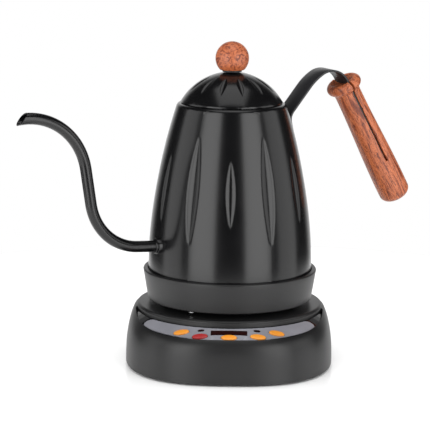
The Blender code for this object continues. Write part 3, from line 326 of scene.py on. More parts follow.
def lift(offset):
    bpy.ops.mesh.extrude_region_move(TRANSFORM_OT_translate={"value": offset})


def pick_open_edges():
    bpy.ops.mesh.select_all(action="DESELECT")
    bpy.ops.mesh.select_mode(type="EDGE")
    bpy.ops.mesh.select_non_manifold(
        extend=False, use_multi_face=False, use_non_contiguous=False, use_verts=False
    )


def lathe(name, stations, sides):
    """Turns (radius, height) stations about the Z axis by extruding a circle along them.

    A first or last station on the axis closes that end, and a list that ends where it
    starts makes a ring.
    """
    set_down()
    pointed = stations[0][0] == 0
    radius, height = stations[1] if pointed else stations[0]
    bpy.ops.mesh.primitive_circle_add(vertices=sides, radius=radius, location=(0, 0, height))
    piece = open_up(named(name))
    first = (radius, height)
    for wider, higher in stations[2 if pointed else 1:]:
        lift((0, 0, higher - height))
        if wider == 0:
            bpy.ops.mesh.merge(type="CENTER")
        else:
            share = wider / radius
            bpy.ops.transform.resize(value=(share, share, 1), center_override=(0, 0, higher))
        radius, height = wider, higher
    if pointed:
        pick_open_edges()
        lift((0, 0, stations[0][1] - first[1]))
        bpy.ops.mesh.merge(type="CENTER")
    return weld(piece)


def weld(piece):
    """Merges doubles, turns all faces outward and leaves edit mode."""
    open_up(piece)
    bpy.ops.mesh.remove_doubles(threshold=WELD)
    bpy.ops.mesh.normals_make_consistent(inside=False)
    bpy.ops.object.mode_set(mode="OBJECT")
    return piece


def follow(piece, start, heading, side, steps, fine=3.0):
    """Extrudes the selected ring along straight runs and spins it round bends, in the XZ plane.

    side is +1 towards +X and -1 towards -X; heading is an angle up from that direction.
    """
    x, z = start
    for kind, size, *new in steps:
        if kind == "run":
            dx, dz = size * math.cos(heading), size * math.sin(heading)
            lift((side * dx, 0, dz))
            x, z = x + dx, z + dz
        else:
            bend = new[0] - heading
            hand = 1 if bend > 0 else -1
            cx = x - hand * size * math.sin(heading)
            cz = z + hand * size * math.cos(heading)
            bpy.ops.mesh.spin(
                steps=max(2, round(abs(math.degrees(bend)) / fine)),
                angle=-bend,
                center=(side * cx, 0, cz),
                axis=(0, -side, 0),
            )
            heading = new[0]
            x = cx + hand * size * math.sin(heading)
            z = cz - hand * size * math.cos(heading)


def shape(piece, kind, **settings):
    """Adds a modifier with its settings and applies it."""
    take(piece)
    bpy.ops.object.modifier_add(type=kind)
    modifier = piece.modifiers[-1]
    for key, value in settings.items():
        setattr(modifier, key, value)
    bpy.ops.object.modifier_apply(modifier=modifier.name)
    return piece


def ease(piece, width, degrees):
    """Rounds a piece's sharp edges."""
    limit = math.radians(degrees)
    return shape(piece, "BEVEL", width=width, segments=2, limit_method="ANGLE", angle_limit=limit)


def carve(piece, cutter):
    """Cuts a piece with another, and removes the cutter."""
    shape(piece, "BOOLEAN", object=cutter, operation="DIFFERENCE", solver="EXACT")
    bpy.data.objects.remove(cutter)
    return piece


def bar(name, size, place):
    """A box from a cube primitive, in its place."""
    set_down()
    bpy.ops.mesh.primitive_cube_add(size=1)
    return settle(named(name), place @ Matrix.Diagonal((*size, 1)))


def mount(piece, body, looks, replaced=(), place=None, crease=30.0):
    """Puts a finished piece in its place, with its finish, on its body."""
    settle(piece, place)
    bpy.ops.object.shade_smooth_by_angle(angle=math.radians(crease))
    piece.data.materials.clear()
    for look in looks:
        piece.data.materials.append(FINISHES[look])
    if replaced:
        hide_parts(*replaced)
    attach(piece, body)
    return piece


def refine(node, body, look, crease=30.0):
    """A smooth-shaded copy of a CAD piece, welded first."""
    take(frame["nodes"][node])
    bpy.ops.object.duplicate()
    piece = bpy.context.object
    piece.name = piece.data.name = node + "_skin"
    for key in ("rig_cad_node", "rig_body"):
        if key in piece:
            del piece[key]
    piece.parent = None
    piece.hide_render = False
    open_up(piece)
    bpy.ops.mesh.remove_doubles(threshold=WELD)
    bpy.ops.object.mode_set(mode="OBJECT")
    return mount(piece, body, [look], [node], crease=crease)


# Finishes

FINISHES = {}


def add(material, kind, settings=(), links=()):
    """Adds a shader node with its settings and its links; a setting is an input or an attribute."""
    tree = material.node_tree
    made = tree.nodes.new("ShaderNode" + kind)
    for key, value in dict(settings).items():
        if key == "stops":
            ramp = made.color_ramp.elements
            while len(ramp) < len(value):
                ramp.new(1.0)
            for stop, (position, shade) in zip(ramp, value):
                stop.position = position
                stop.color = (*shade, 1.0)
        elif isinstance(key, int) or key in made.inputs:
            made.inputs[key].default_value = value
        else:
            setattr(made, key, value)
    for key, socket in dict(links).items():
        tree.links.new(socket, made.inputs[key])
    return made


def noise(material, coords, grain, **settings):
    """Noise whose grains have a given size in metres."""
    return add(material, "TexNoise", {"Scale": 1 / grain, **settings}, {"Vector": coords}).outputs["Fac"]


def span(material, low, high, source):
    """Spreads a value between two others."""
    ends = {"To Min": low, "To Max": high}
    return add(material, "MapRange", ends, {"Value": source}).outputs["Result"]


def ramp(material, stops, source):
    return add(material, "ValToRGB", {"stops": stops}, {"Fac": source}).outputs["Color"]


def relief(material, strength, depth, source):
    settings = {"Strength": strength, "Distance": depth}
    return add(material, "Bump", settings, {"Height": source}).outputs["Normal"]


def grey(value):
    return (value, value, value)


def finish(name, base, roughness, metallic=0.0, ior=None):
    """A new material with its shader and its object coordinates."""
    material = bpy.data.materials.new(name)
    material.use_nodes = True
    shader = material.node_tree.nodes["Principled BSDF"]
    shader.inputs["Base Color"].default_value = (*base, 1.0)
    shader.inputs["Roughness"].default_value = roughness
    shader.inputs["Metallic"].default_value = metallic
    if ior:
        shader.inputs["IOR"].default_value = ior
    coords = add(material, "TexCoord").outputs["Object"]
    FINISHES[name] = material
    return material, shader, coords


def join(material, socket, shader, name):
    material.node_tree.links.new(socket, shader.inputs[name])


def grained(name, base, roughness, grain, depth, spread=0.06, metallic=0.0, ior=None):
    """A finish whose grain of a given size shows in its bump, and slow patches in its sheen."""
    material, shader, coords = finish(name, base, roughness, metallic, ior)
    fine = noise(material, coords, grain, Detail=2.0)
    join(material, relief(material, 1.0, depth, fine), shader, "Normal")
    patches = noise(material, coords, PATCH, Detail=3.0)
    sheen = span(material, roughness - spread / 2, roughness + spread / 2, patches)
    join(material, sheen, shader, "Roughness")
    stops = [(0.3, [0.88 * c for c in base]), (0.7, [min(1, 1.12 * c) for c in base])]
    join(material, ramp(material, stops, patches), shader, "Base Color")
    return shader


def wood(name, colours, tilt, origin, ring):
    """Oiled rosewood: bands along the grain, darker pores drawn out along it, a low sheen."""
    material, shader, coords = finish(name, colours.wood_light, 0.42, ior=1.5)
    along = add(
        material,
        "Mapping",
        {"vector_type": "TEXTURE", "Rotation": tilt, "Location": origin, "Scale": (1, 1, 9)},
        {"Vector": coords},
    )
    grain = along.outputs["Vector"]
    bands = noise(material, grain, ring, Detail=5.0, Roughness=0.62, Distortion=0.8)
    stops = [(0.38, colours.wood_dark), (0.5, colours.wood_light), (0.64, colours.wood_dark)]
    figure = ramp(material, stops, bands)
    # Pores of about 0.3 mm, drawn out along the grain; a little coarser than the real ones.
    pores = noise(material, grain, 0.45 * MM, Detail=2.0)
    pits = ramp(material, [(0.32, grey(1.0)), (0.42, grey(0.0))], pores)
    mixed = add(
        material,
        "Mix",
        {"data_type": "RGBA", 7: (*colours.wood_pore, 1.0)},
        {6: figure, 0: pits},
    )
    join(material, mixed.outputs[2], shader, "Base Color")
    join(material, relief(material, 0.4, 0.05 * MM, pores), shader, "Normal")
    join(material, span(material, 0.34, 0.5, bands), shader, "Roughness")


def make_finishes(colours, grip_place):
    """Every finish of the kettle."""
    # Baked enamel on pressed steel: a deep gloss with the slight waviness of a fired coat.
    grained("baked_enamel", colours.enamel, 0.21, 3.0 * MM, 0.004 * MM, 0.04, ior=1.5)
    # Moulded ABS with a fine spark-eroded texture: a soft, even sheen.
    grained("moulded_abs", colours.plastic, 0.40, 0.5 * MM, 0.02 * MM, ior=1.53)
    # Polished ABS: near mirror gloss, with faint handling marks.
    grained("polished_abs", colours.gloss, 0.08, 4.0 * MM, 0.001 * MM, 0.06, ior=1.53)
    # Screen-printed polycarbonate film: silver-grey, with metallic flakes that glint a little.
    grained("printed_film", colours.label, 0.42, 0.35 * MM, 0.006 * MM, 0.1, metallic=0.25, ior=1.58)
    # Powder-coated steel strip: satin black with a faint pebble.
    grained("powder_coat", colours.strap, 0.36, 0.6 * MM, 0.012 * MM, ior=1.5)
    # Bare drawn stainless steel: bright, with fine lines.
    grained("drawn_stainless", colours.steel, 0.22, 0.8 * MM, 0.002 * MM, metallic=1.0)
    # Pressed aluminium: pale and softer in its shine than steel.
    grained("pressed_aluminium", linear("#C6C6CA"), 0.38, 0.6 * MM, 0.004 * MM, metallic=1.0)
    # Drawn brass: warm and fairly bright.
    grained("drawn_brass", linear("#C9A15A"), 0.28, 0.7 * MM, 0.003 * MM, metallic=1.0)
    # Moulded rubber: dead matt, slightly mottled.
    grained("moulded_rubber", linear("#1C1C1C"), 0.78, 0.9 * MM, 0.02 * MM, ior=1.52)
    # Moulded silicone: grey and waxy.
    grained("moulded_silicone", linear("#8B8B88"), 0.5, 1.2 * MM, 0.01 * MM, ior=1.41)
    # Moulded nylon: black, with a dull waxy shine.
    grained("moulded_nylon", linear("#161617"), 0.48, 0.7 * MM, 0.012 * MM, ior=1.53)
    # Lacquered glass-fibre board: green under a clear coat, with the weave just visible.
    grained("lacquered_board", linear("#1D5A33"), 0.3, 0.9 * MM, 0.01 * MM, ior=1.55)
    # Tinted polycarbonate keys: satin, and light spreads a little inside them.
    for name, tint in (("amber_polycarbonate", colours.amber), ("red_polycarbonate", colours.red)):
        shader = grained(name, tint, 0.36, 0.5 * MM, 0.004 * MM, ior=1.58)
        shader.inputs["Subsurface Weight"].default_value = 0.2
        shader.inputs["Subsurface Radius"].default_value = (1.2 * MM, 0.6 * MM, 0.2 * MM)
        shader.inputs["Subsurface Scale"].default_value = 1.0
    # Smoked acrylic: almost black, with a deep red cast and a clean reflection.
    grained("smoked_acrylic", colours.lens, 0.06, 5.0 * MM, 0.001 * MM, 0.02, ior=1.49)
    wood("oiled_rosewood_grip", colours, grip_place.to_euler(), grip_place.translation, 4.0 * MM)
    ball_low, ball_high = BOXES["lid_knob"]
    wood(
        "oiled_rosewood_ball",
        colours,
        Euler((math.radians(70), math.radians(20), 0)),
        (ball_low + ball_high) / 2,
        3.4 * MM,
    )


SLOT_FINISHES = {
    "black_enamel": "baked_enamel",
    "charcoal_plastic": "moulded_abs",
    "gloss_panel": "polished_abs",
    "silver_label": "printed_film",
    "rosewood": "oiled_rosewood_grip",
    "steel": "drawn_stainless",
    "aluminium": "pressed_aluminium",
    "black_strap": "powder_coat",
    "rubber": "moulded_rubber",
    "silicone": "moulded_silicone",
    "black_nylon": "moulded_nylon",
    "amber_key": "amber_polycarbonate",
    "red_key": "red_polycarbonate",
    "dark_lens": "smoked_acrylic",
    "circuit_board": "lacquered_board",
    "brass": "drawn_brass",
}


# Places taken from the frame


def top_of(node):
    return BOXES[node][1].z


def foot_of(node):
    return BOXES[node][0].z


def strap_steps(sizes):
    """Runs and bends of the strap above its foot."""
    return [
        ("bend", sizes.kink_radius, sizes.strap_rise),
        ("run", sizes.strap_run),
        ("bend", sizes.arch_radius, sizes.strap_crest),
        ("bend", sizes.drop_radius, sizes.grip_tilt - math.pi / 2),
    ]


def body_radius(sizes, height):
    """Outer radius of the vessel at a height."""
    low, high = top_of("kettle_cup"), body_top(sizes)
    share = min(1.0, max(0.0, (height - low) / (high - low)))
    return sizes.body_radius - (sizes.body_radius - sizes.shoulder_radius) * share ** sizes.body_taper


def body_top(sizes):
    """Height where the wall ends and the rounded shoulder begins."""
    return foot_of("body_shell") + sizes.body_height


def body_lean(sizes, height):
    step = 0.5 * MM
    return math.atan2(body_radius(sizes, height - step) - body_radius(sizes, height + step), 2 * step)


def strap_start(sizes):
    """Lower end of the strap's centreline, its heading and the length of its straight foot."""
    foot = sizes.foot_length
    middle = foot_of("body_shell") + sizes.foot_up + foot / 2
    lean = body_lean(sizes, middle)
    out = body_radius(sizes, middle) + (CLEARANCE + sizes.strap_thickness / 2) / math.cos(lean)
    half = foot / 2 / math.cos(lean)
    start = (out + half * math.sin(lean), middle - half * math.cos(lean))
    return start, math.pi / 2 + lean, 2 * half


def walk(start, heading, steps):
    """Where a path of runs and bends ends."""
    x, z = start
    for kind, size, *new in steps:
        if kind == "run":
            x, z = x + size * math.cos(heading), z + size * math.sin(heading)
            continue
        hand = 1 if new[0] > heading else -1
        cx, cz = x - hand * size * math.sin(heading), z + hand * size * math.cos(heading)
        heading = new[0]
        x, z = cx + hand * size * math.sin(heading), cz - hand * size * math.cos(heading)
    return x, z


def grip_place(sizes):
    """The grip's frame: its Z axis runs down the wood from the middle of its top."""
    start, heading, foot = strap_start(sizes)
    x, z = walk(start, heading, [("run", foot), *strap_steps(sizes), ("run", sizes.strap_lead)])
    down = Matrix.Translation((x, 0, z)) @ Matrix.Rotation(math.pi - sizes.grip_tilt, 4, "Y")
    return SWIVEL @ down


# Operators


class BuildOperator:
    """What all the operators of this add-on share."""

    bl_options = {"REGISTER", "UNDO"}


def leaf(share):
    """Half width of a leaf at a share of its length: pointed at both ends, 1 in the middle."""
    return max(0.0, 1 - (2 * share - 1) ** 2)


def press_flutes(piece, reach, centre=0.0):
    """Moves the columns of a turned wall to the edges of its flutes and presses the flutes in.

    reach(index, point) gives a flute's half width and depth at a point of the wall; the first
    flute is centred at an angle of centre.
    """
    pitch = 2 * math.pi / FLUTES
    for vertex in piece.data.vertices:
        point = vertex.co
        radius = math.hypot(point.x, point.y)
        if radius < WELD:
            continue
        angle = math.atan2(point.y, point.x) - centre
        index = round(angle / pitch)
        found = reach(index % FLUTES, point)
        if found is None:
            continue
        half_width, depth, normal = found
        offset = (angle - index * pitch) / (pitch / 2)
        edge = half_width / radius
        inside = min(1.0, abs(offset) / 0.5)
        outside = max(0.0, abs(offset) - 0.5) / 0.5
        swing = edge * inside + (pitch / 2 - edge) * outside
        new = centre + index * pitch + math.copysign(swing, offset)
        press = depth * (1 - inside ** 2)
        rim = radius - press * normal[0]
        vertex.co = (rim * math.cos(new), rim * math.sin(new), point.z - press * normal[1])


class KETTLE_OT_body(BuildOperator, bpy.types.Operator):
    """Presses and enamels the fluted steel body"""

    bl_idname = "kettle.body"
    bl_label = "Body"

    def execute(self, context):
        sizes = context.scene.kettle_sizes
        top = body_top(sizes)
        low = foot_of("body_shell")
        lean = body_lean(sizes, top - 1 * MM)
        round_r = sizes.shoulder_round
        centre = (sizes.shoulder_radius - round_r * math.cos(lean), top - round_r * math.sin(lean))
        mouth = centre[1] + round_r
        mouth_radius = sizes.shoulder_radius - round_r - sizes.mouth_lip
        edge = sizes.mouth_edge
        rows = 72
        stations = [(sizes.body_radius, low)]
        cup_top = top_of("kettle_cup")
        levels = [cup_top + (top - cup_top) * i / rows for i in range(rows)]
        stations += [(body_radius(sizes, level), level) for level in levels]
        stations += arc(centre, round_r, math.degrees(lean), 90, 10)
        stations += arc((mouth_radius + edge, mouth - edge), edge, 90, 180, 3)
        stations.append((mouth_radius, mouth - sizes.mouth_depth))
        piece = lathe("body", stations, FLUTE_COLUMNS * FLUTES)

        def reach(index, point):
            if point.z < cup_top or point.z > top:
                return None
            long = index % 2 == 0
            ends = (
                (sizes.long_flute_low, sizes.long_flute_high, sizes.long_flute_width)
                if long
                else (sizes.short_flute_low, sizes.short_flute_high, sizes.short_flute_width)
            )
            share = (point.z - ends[0]) / (ends[1] - ends[0])
            width = leaf(share) if 0 < share < 1 else 0.0
            tilt = body_lean(sizes, point.z)
            half = max(0.3 * MM, ends[2] / 2 * width)
            return half, sizes.flute_depth * width, (math.cos(tilt), math.sin(tilt))

        press_flutes(piece, reach)
        shape(piece, "SOLIDIFY", thickness=sizes.sheet, offset=-1.0, use_even_offset=True)
        mount(piece, "kettle", ["baked_enamel"], ["body_shell"], crease=40)
        return {"FINISHED"}


class KETTLE_OT_cup(BuildOperator, bpy.types.Operator):
    """Moulds the plastic cup that the body sits in"""

    bl_idname = "kettle.cup"
    bl_label = "Cup"

    def execute(self, context):
        sizes = context.scene.kettle_sizes
        low, high = BOXES["kettle_cup"]
        edge = sizes.cup_edge
        seat = sizes.body_radius + CLEARANCE
        top = high.z
        outer = high.x
        foot = sizes.cup_floor_radius
        ledge_z = top - sizes.cup_seat
        stations = [(seat, ledge_z), (seat, top - 0.4 * MM), (seat + 0.4 * MM, top)]
        stations += arc((outer - edge, top - edge), edge, 90, 0, 8)
        for i in range(1, 6):
            fall = (low.z - top + 2.2 * edge) * i / 6
            stations.append((outer + (foot - outer) * i / 6, top - edge + fall))
        stations += arc((foot - edge, low.z + edge), edge, 0, -90, 8)
        inner, ledge = foot - sizes.cup_wall, seat - sizes.cup_ledge
        stations += [(inner, low.z), (inner, top - 6.0 * MM), (ledge, top - 5.0 * MM)]
        stations += [(ledge, ledge_z), (seat, ledge_z)]
        piece = lathe("cup", stations, 160)
        mount(piece, "kettle", ["moulded_abs"], ["kettle_cup"])
        refine("cup_floor", "kettle", "moulded_abs")
        refine("power_socket", "socket", "moulded_nylon")
        refine("heater_plate", "kettle", "drawn_stainless")
        return {"FINISHED"}


class KETTLE_OT_spout(BuildOperator, bpy.types.Operator):
    """Bends the swan-neck spout and fits its ferrule"""

    bl_idname = "kettle.spout"
    bl_label = "Spout"

    def execute(self, context):
        sizes = context.scene.kettle_sizes
        centre_z = foot_of("body_shell") + sizes.spout_up
        root = body_radius(sizes, centre_z)
        inside, rise, cut = sizes.spout_inside, sizes.spout_rise, sizes.spout_cut
        start = (root - inside, centre_z - inside * math.tan(rise))
        steps = [
            ("run", inside + sizes.spout_foot),
            ("bend", sizes.spout_bend, sizes.spout_steep),
            ("run", sizes.spout_stem),
            ("bend", sizes.spout_neck, sizes.spout_dip),
            ("run", sizes.spout_end),
        ]
        tip = walk(start, rise, steps)
        set_down()
        bpy.ops.mesh.primitive_circle_add(
            vertices=40,
            radius=sizes.spout_radius,
            location=(-start[0], 0, start[1]),
            rotation=(0, rise - math.pi / 2, 0),
        )
        piece = open_up(named("spout"))
        follow(piece, start, rise, -1, [*steps, ("run", 2 * sizes.spout_radius)])
        bpy.ops.mesh.select_all(action="SELECT")
        bpy.ops.mesh.bisect(
            plane_co=(-tip[0], 0, tip[1]),
            plane_no=(-math.sin(cut), 0, math.cos(cut)),
            clear_outer=True,
        )
        weld(piece)
        shape(
            piece,
            "SOLIDIFY",
            thickness=sizes.spout_wall,
            offset=-1.0,
            use_even_offset=True,
            material_offset=1,
            material_offset_rim=1,
        )
        mount(
            piece,
            "kettle",
            ["baked_enamel", "drawn_stainless"],
            ["spout_tube"],
            place=SWIVEL,
            crease=40,
        )
        bore = sizes.spout_radius + 0.05 * MM
        neck = sizes.spout_radius + sizes.ferrule_neck
        outer = neck + sizes.ferrule_step
        low, rim = root - sizes.ferrule_root, root + sizes.ferrule_length
        top, edge = rim + sizes.ferrule_neck_length, 0.4 * MM
        stations = [(bore, low), (outer, low), (outer, rim - edge)]
        stations += [(outer - 0.15 * MM, rim - 0.12 * MM), (outer - edge, rim), (neck, rim)]
        stations += [(neck, top - edge), (neck - edge, top), (bore, top), (bore, low)]
        ferrule = lathe("spout_ferrule", stations, 48)
        level = Matrix.Translation((0, 0, centre_z)) @ Matrix.Rotation(-math.pi / 2, 4, "Y")
        mount(
            ferrule, "kettle", ["baked_enamel"], ["spout_collar"], place=SWIVEL @ level
        )
        return {"FINISHED"}


class KETTLE_OT_handle(BuildOperator, bpy.types.Operator):
    """Bends the strap, rivets it and turns the wooden grip"""

    bl_idname = "kettle.handle"
    bl_label = "Handle"

    def execute(self, context):
        sizes = context.scene.kettle_sizes
        start, heading, foot = strap_start(sizes)
        set_down()
        bpy.ops.mesh.primitive_plane_add(size=1)
        section = Matrix.Diagonal((sizes.strap_thickness, sizes.strap_width, 1, 1))
        lean = Matrix.Rotation(math.pi / 2 - heading, 4, "Y")
        place = Matrix.Translation((start[0], 0, start[1])) @ lean @ section
        piece = open_up(settle(named("strap"), place))
        bpy.ops.mesh.delete(type="ONLY_FACE")
        bpy.ops.mesh.select_all(action="SELECT")
        tongue = sizes.kerf_length - 2.0 * MM
        follow(piece, start, heading, 1, [("run", foot), *strap_steps(sizes), ("run", tongue)], fine=2.5)
        pick_open_edges()
        bpy.ops.mesh.edge_face_add()
        weld(piece)
        self.round_foot(piece, start, sizes)
        ease(piece, 0.35 * MM, 50)
        mount(piece, "kettle", ["powder_coat"], ["handle_strap"], place=SWIVEL)
        self.rivets(sizes)
        self.grip(sizes)
        return {"FINISHED"}

    def round_foot(self, piece, start, sizes):
        """Rounds the two corners of the strap's lower end."""
        open_up(piece)
        bpy.ops.mesh.select_all(action="DESELECT")
        bpy.ops.object.mode_set(mode="OBJECT")
        near = Vector((start[0], 0, start[1]))
        for edge in piece.data.edges:
            ends = [piece.data.vertices[i].co for i in edge.vertices]
            across = abs(ends[0].y - ends[1].y)
            close = all((end - near).length < 0.6 * sizes.strap_width for end in ends)
            edge.select = close and across < WELD and all(
                (end - near).dot(Vector((0, 0, 1))) < sizes.strap_thickness for end in ends
            )
        bpy.ops.object.mode_set(mode="EDIT")
        bpy.ops.mesh.bevel(offset=sizes.foot_round, segments=6)
        bpy.ops.object.mode_set(mode="OBJECT")

    def rivets(self, sizes):
        """Domed rivet heads on the strap's foot."""
        low = foot_of("body_shell") + sizes.foot_up
        head, shaft, dome = sizes.rivet_radius, sizes.rivet_shaft, sizes.rivet_height
        seat = sizes.strap_thickness + 0.8 * MM
        for i, share in enumerate(RIVET_SHARES):
            height = low + sizes.foot_length * share
            lean = body_lean(sizes, height)
            stations = [(0, -1.8 * MM), (3.2 * MM, -1.8 * MM), (3.2 * MM, -1.2 * MM)]
            stations += [(shaft, -1.2 * MM), (shaft, seat - CLEARANCE), (head, seat - CLEARANCE)]
            turns = [math.radians(degrees) for degrees in range(0, 90, 15)]
            stations += [(head * math.cos(a), seat + dome * math.sin(a)) for a in turns]
            stations.append((0, seat + dome))
            rivet = lathe(f"rivet_{i + 1}", stations, 32)
            out = Matrix.Translation((body_radius(sizes, height), 0, height)) @ Matrix.Rotation(
                math.pi / 2 - lean, 4, "Y"
            )
            node = f"strap_rivet_{i + 1}"
            mount(rivet, "kettle", ["powder_coat"], [node], SWIVEL @ out)

    def grip(self, sizes):
        """The turned wooden grip with its sawn kerf."""
        bead, neck, swell = sizes.bead_radius, sizes.neck_radius, sizes.swell_radius
        end, edge = sizes.grip_end, sizes.bead_round
        stations = [(0, 2.2 * MM), (6.0 * MM, 2.0 * MM), (8.6 * MM, 0.9 * MM)]
        stations += arc((bead - edge, edge), edge, -90, 48, 12)
        stations += [(neck + 0.5 * MM, 9.3 * MM), (neck + 0.1 * MM, 10.6 * MM)]
        low, high = sizes.neck_at, sizes.grip_length - sizes.swell_end
        for i in range(15):
            share = i / 14
            blend = (1 - math.cos(math.pi * share)) / 2
            stations.append((neck + (swell - neck) * blend, low + (high - low) * share))
        stations += arc((swell - end, sizes.grip_length - end), end, 8, 85, 8)
        stations.append((0, sizes.grip_length))
        piece = lathe("grip", stations, 64)
        kerf = sizes.strap_thickness + 0.6 * MM
        reach = sizes.kerf_length + 4 * MM
        middle = Matrix.Translation((0, 0, sizes.kerf_length - reach / 2))
        carve(piece, bar("kerf", (kerf, 4 * bead, reach), middle))
        for share in PIN_SHARES:
            ends, radius = (-4 * MM, 20 * MM), sizes.pin_bore
            stations = [(0, ends[0]), (radius, ends[0]), (radius, ends[1]), (0, ends[1])]
            bore = lathe("pin_bore", stations, 24)
            at = Matrix.Translation((0, 0, sizes.kerf_length * share))
            bore.matrix_world = at @ Matrix.Rotation(-math.pi / 2, 4, "Y")
            carve(piece, bore)
        ease(piece, 0.25 * MM, 60)
        place = grip_place(sizes)
        mount(piece, "kettle", ["oiled_rosewood_grip"], ["handle_grip"], place)


class KETTLE_OT_lid(BuildOperator, bpy.types.Operator):
    """Presses the domed lid and turns its wooden ball"""

    bl_idname = "kettle.lid"
    bl_label = "Lid"

    def execute(self, context):
        sizes = context.scene.kettle_sizes
        low, high = BOXES["lid_dome"]
        radius = high.x
        lip = low.z + sizes.lid_lip
        rise = high.z - lip
        sphere = (radius ** 2 + rise ** 2) / (2 * rise)
        centre = lip + rise - sphere
        opening = math.degrees(math.asin(radius / sphere))
        stations = [(radius - 0.3 * MM, low.z), (radius, low.z + 0.3 * MM)]
        stations += arc((0, centre), sphere, 90 - opening, 88, 44) + [(0, centre + sphere)]
        piece = lathe("lid", stations, FLUTE_COLUMNS * FLUTES)

        def reach(index, point):
            angle = math.atan2(math.hypot(point.x, point.y), point.z - centre)
            if angle < math.radians(8) or point.z < lip:
                return None
            share = (angle - sizes.lid_flute_high) / (sizes.lid_flute_low - sizes.lid_flute_high)
            width = leaf(share) if 0 < share < 1 else 0.0
            half = max(0.15 * MM, sizes.lid_flute_width / 2 * width)
            return half, sizes.lid_flute_depth * width, (math.sin(angle), math.cos(angle))

        press_flutes(piece, reach, centre=math.radians(15))
        shape(piece, "SOLIDIFY", thickness=sizes.sheet, offset=-1.0, use_even_offset=True)
        mount(piece, "lid", ["baked_enamel"], ["lid_dome"], crease=40)
        self.ball(sizes)
        refine("knob_washer", "lid", "moulded_nylon")
        refine("lid_inner_plate", "lid", "drawn_stainless")
        refine("lid_seal", "seal", "moulded_silicone")
        return {"FINISHED"}

    def ball(self, sizes):
        """The wooden ball on its small flat."""
        low, high = BOXES["lid_knob"]
        radius = sizes.ball_radius
        centre = high.z - radius
        flat = math.degrees(math.asin((centre - low.z) / radius))
        stations = [(0, low.z), (sizes.ball_dimple, low.z)]
        stations += arc((0, centre), radius, -flat, 88, 48) + [(0, high.z)]
        piece = lathe("ball", stations, 96)
        mount(piece, "lid", ["oiled_rosewood_ball"], ["lid_knob"])


def base_plan(sizes, share, angle):
    """A point of the housing's plan at a share of its height; angle is the circle's own."""
    fall = share ** SIDE_CURVE
    side = sizes.side - (sizes.side - sizes.shoulder_radius) * fall
    front = sizes.front - (sizes.front - sizes.shoulder_radius) * share ** FRONT_CURVE
    square = 2 + (sizes.squareness - 2) * (1 - share ** ROUNDING_CURVE)
    c, s = math.cos(angle), math.sin(angle)
    x = side * math.copysign(abs(c) ** (2 / square), c)
    y = math.copysign(abs(s) ** (2 / square), s) * (side if s > 0 else front)
    return x, y


def panel_height(sizes, radius, depth=0.0):
    """Height of the panel's cone at a radius, at a depth under the label's face."""
    top = top_of("base_shell") - sizes.panel_drop
    slope = sizes.panel_slope
    return top - (radius - sizes.recess_inner) * math.tan(slope) - depth / math.cos(slope)


class KETTLE_OT_base(BuildOperator, bpy.types.Operator):
    """Moulds the power base's housing with its platform and recess"""

    bl_idname = "kettle.base"
    bl_label = "Power base"

    def execute(self, context):
        sizes = context.scene.base_sizes
        low, high = BOXES["base_shell"]
        shoulder = high.z - sizes.platform_step
        bead = sizes.platform_bead
        platform = sizes.platform_radius
        rise = shoulder - low.z

        def outside(height, angle):
            return base_plan(sizes, max(0, (height - low.z) / rise), angle)

        def inside(height, angle):
            x, y = outside(height, angle)
            share = 1 - sizes.wall / math.hypot(x, y)
            return x * share, y * share

        upper = [(platform, shoulder + sizes.neck_up)]
        upper += arc((platform - bead, high.z - bead), bead, 0, 90, 8) + [(0, high.z)]
        piece = self.loft("housing", low.z, shoulder, 24, upper, outside)
        hollow_top = shoulder - sizes.hollow_drop
        cutter_low = low.z - 2 * MM
        carve(piece, self.loft("hollow", cutter_low, hollow_top, 8, [(0, hollow_top)], inside))
        carve(piece, self.recess(sizes))
        post = BOXES["base_connector"][1].x + CLEARANCE
        ends = (high.z - 20 * MM, high.z + 2 * MM)
        stations = [(0, ends[0]), (post, ends[0]), (post, ends[1]), (0, ends[1])]
        carve(piece, lathe("post_hole", stations, 64))
        mount(piece, "base", ["moulded_abs"], ["base_shell"], crease=28)
        refine("base_connector", "base", "moulded_nylon")
        refine("connector_pin", "base", "drawn_brass")
        refine("cord_gland", "base", "moulded_rubber")
        refine("panel_bezel", "base", "polished_abs", crease=20)
        refine("panel_label", "base", "printed_film", crease=20)
        return {"FINISHED"}

    def loft(self, name, low, high, rows, upper, plan):
        """A stack of rings up to a height, each moved to its own plan, then turned stations."""
        start = 80 * MM
        levels = [low + (high - low) * (1 - (1 - i / rows) ** 1.6) for i in range(rows + 1)]
        stations = [(0, low)] + [(start, level) for level in levels] + upper
        piece = lathe(name, stations, 160)
        for vertex in piece.data.vertices:
            point = vertex.co
            if point.z < high + WELD and math.hypot(point.x, point.y) > WELD:
                x, y = plan(point.z, math.atan2(point.y, point.x))
                vertex.co = (x, y, point.z)
        return piece

    def recess(self, sizes):
        """Cutter for the panel's recess: a grid bent round the platform and raised."""
        set_down()
        bpy.ops.mesh.primitive_grid_add(x_subdivisions=140, y_subdivisions=6, size=2)
        piece = named("recess")
        reach = math.atan2(sizes.recess_side, sizes.recess_back)
        square = sizes.squareness
        for vertex in piece.data.vertices:
            u, v = vertex.co.x, (vertex.co.y + 1) / 2
            angle = u * reach
            s, c = abs(math.sin(angle)) / sizes.recess_side, abs(math.cos(angle)) / sizes.recess_front
            outer = (s ** square + c ** square) ** (-1 / square)
            radius = sizes.recess_inner + (outer - sizes.recess_inner) * v
            height = panel_height(sizes, radius, sizes.recess_depth)
            vertex.co = (radius * math.sin(angle), -radius * math.cos(angle), height)
        open_up(piece)
        lift((0, 0, 30 * MM))
        return weld(piece)


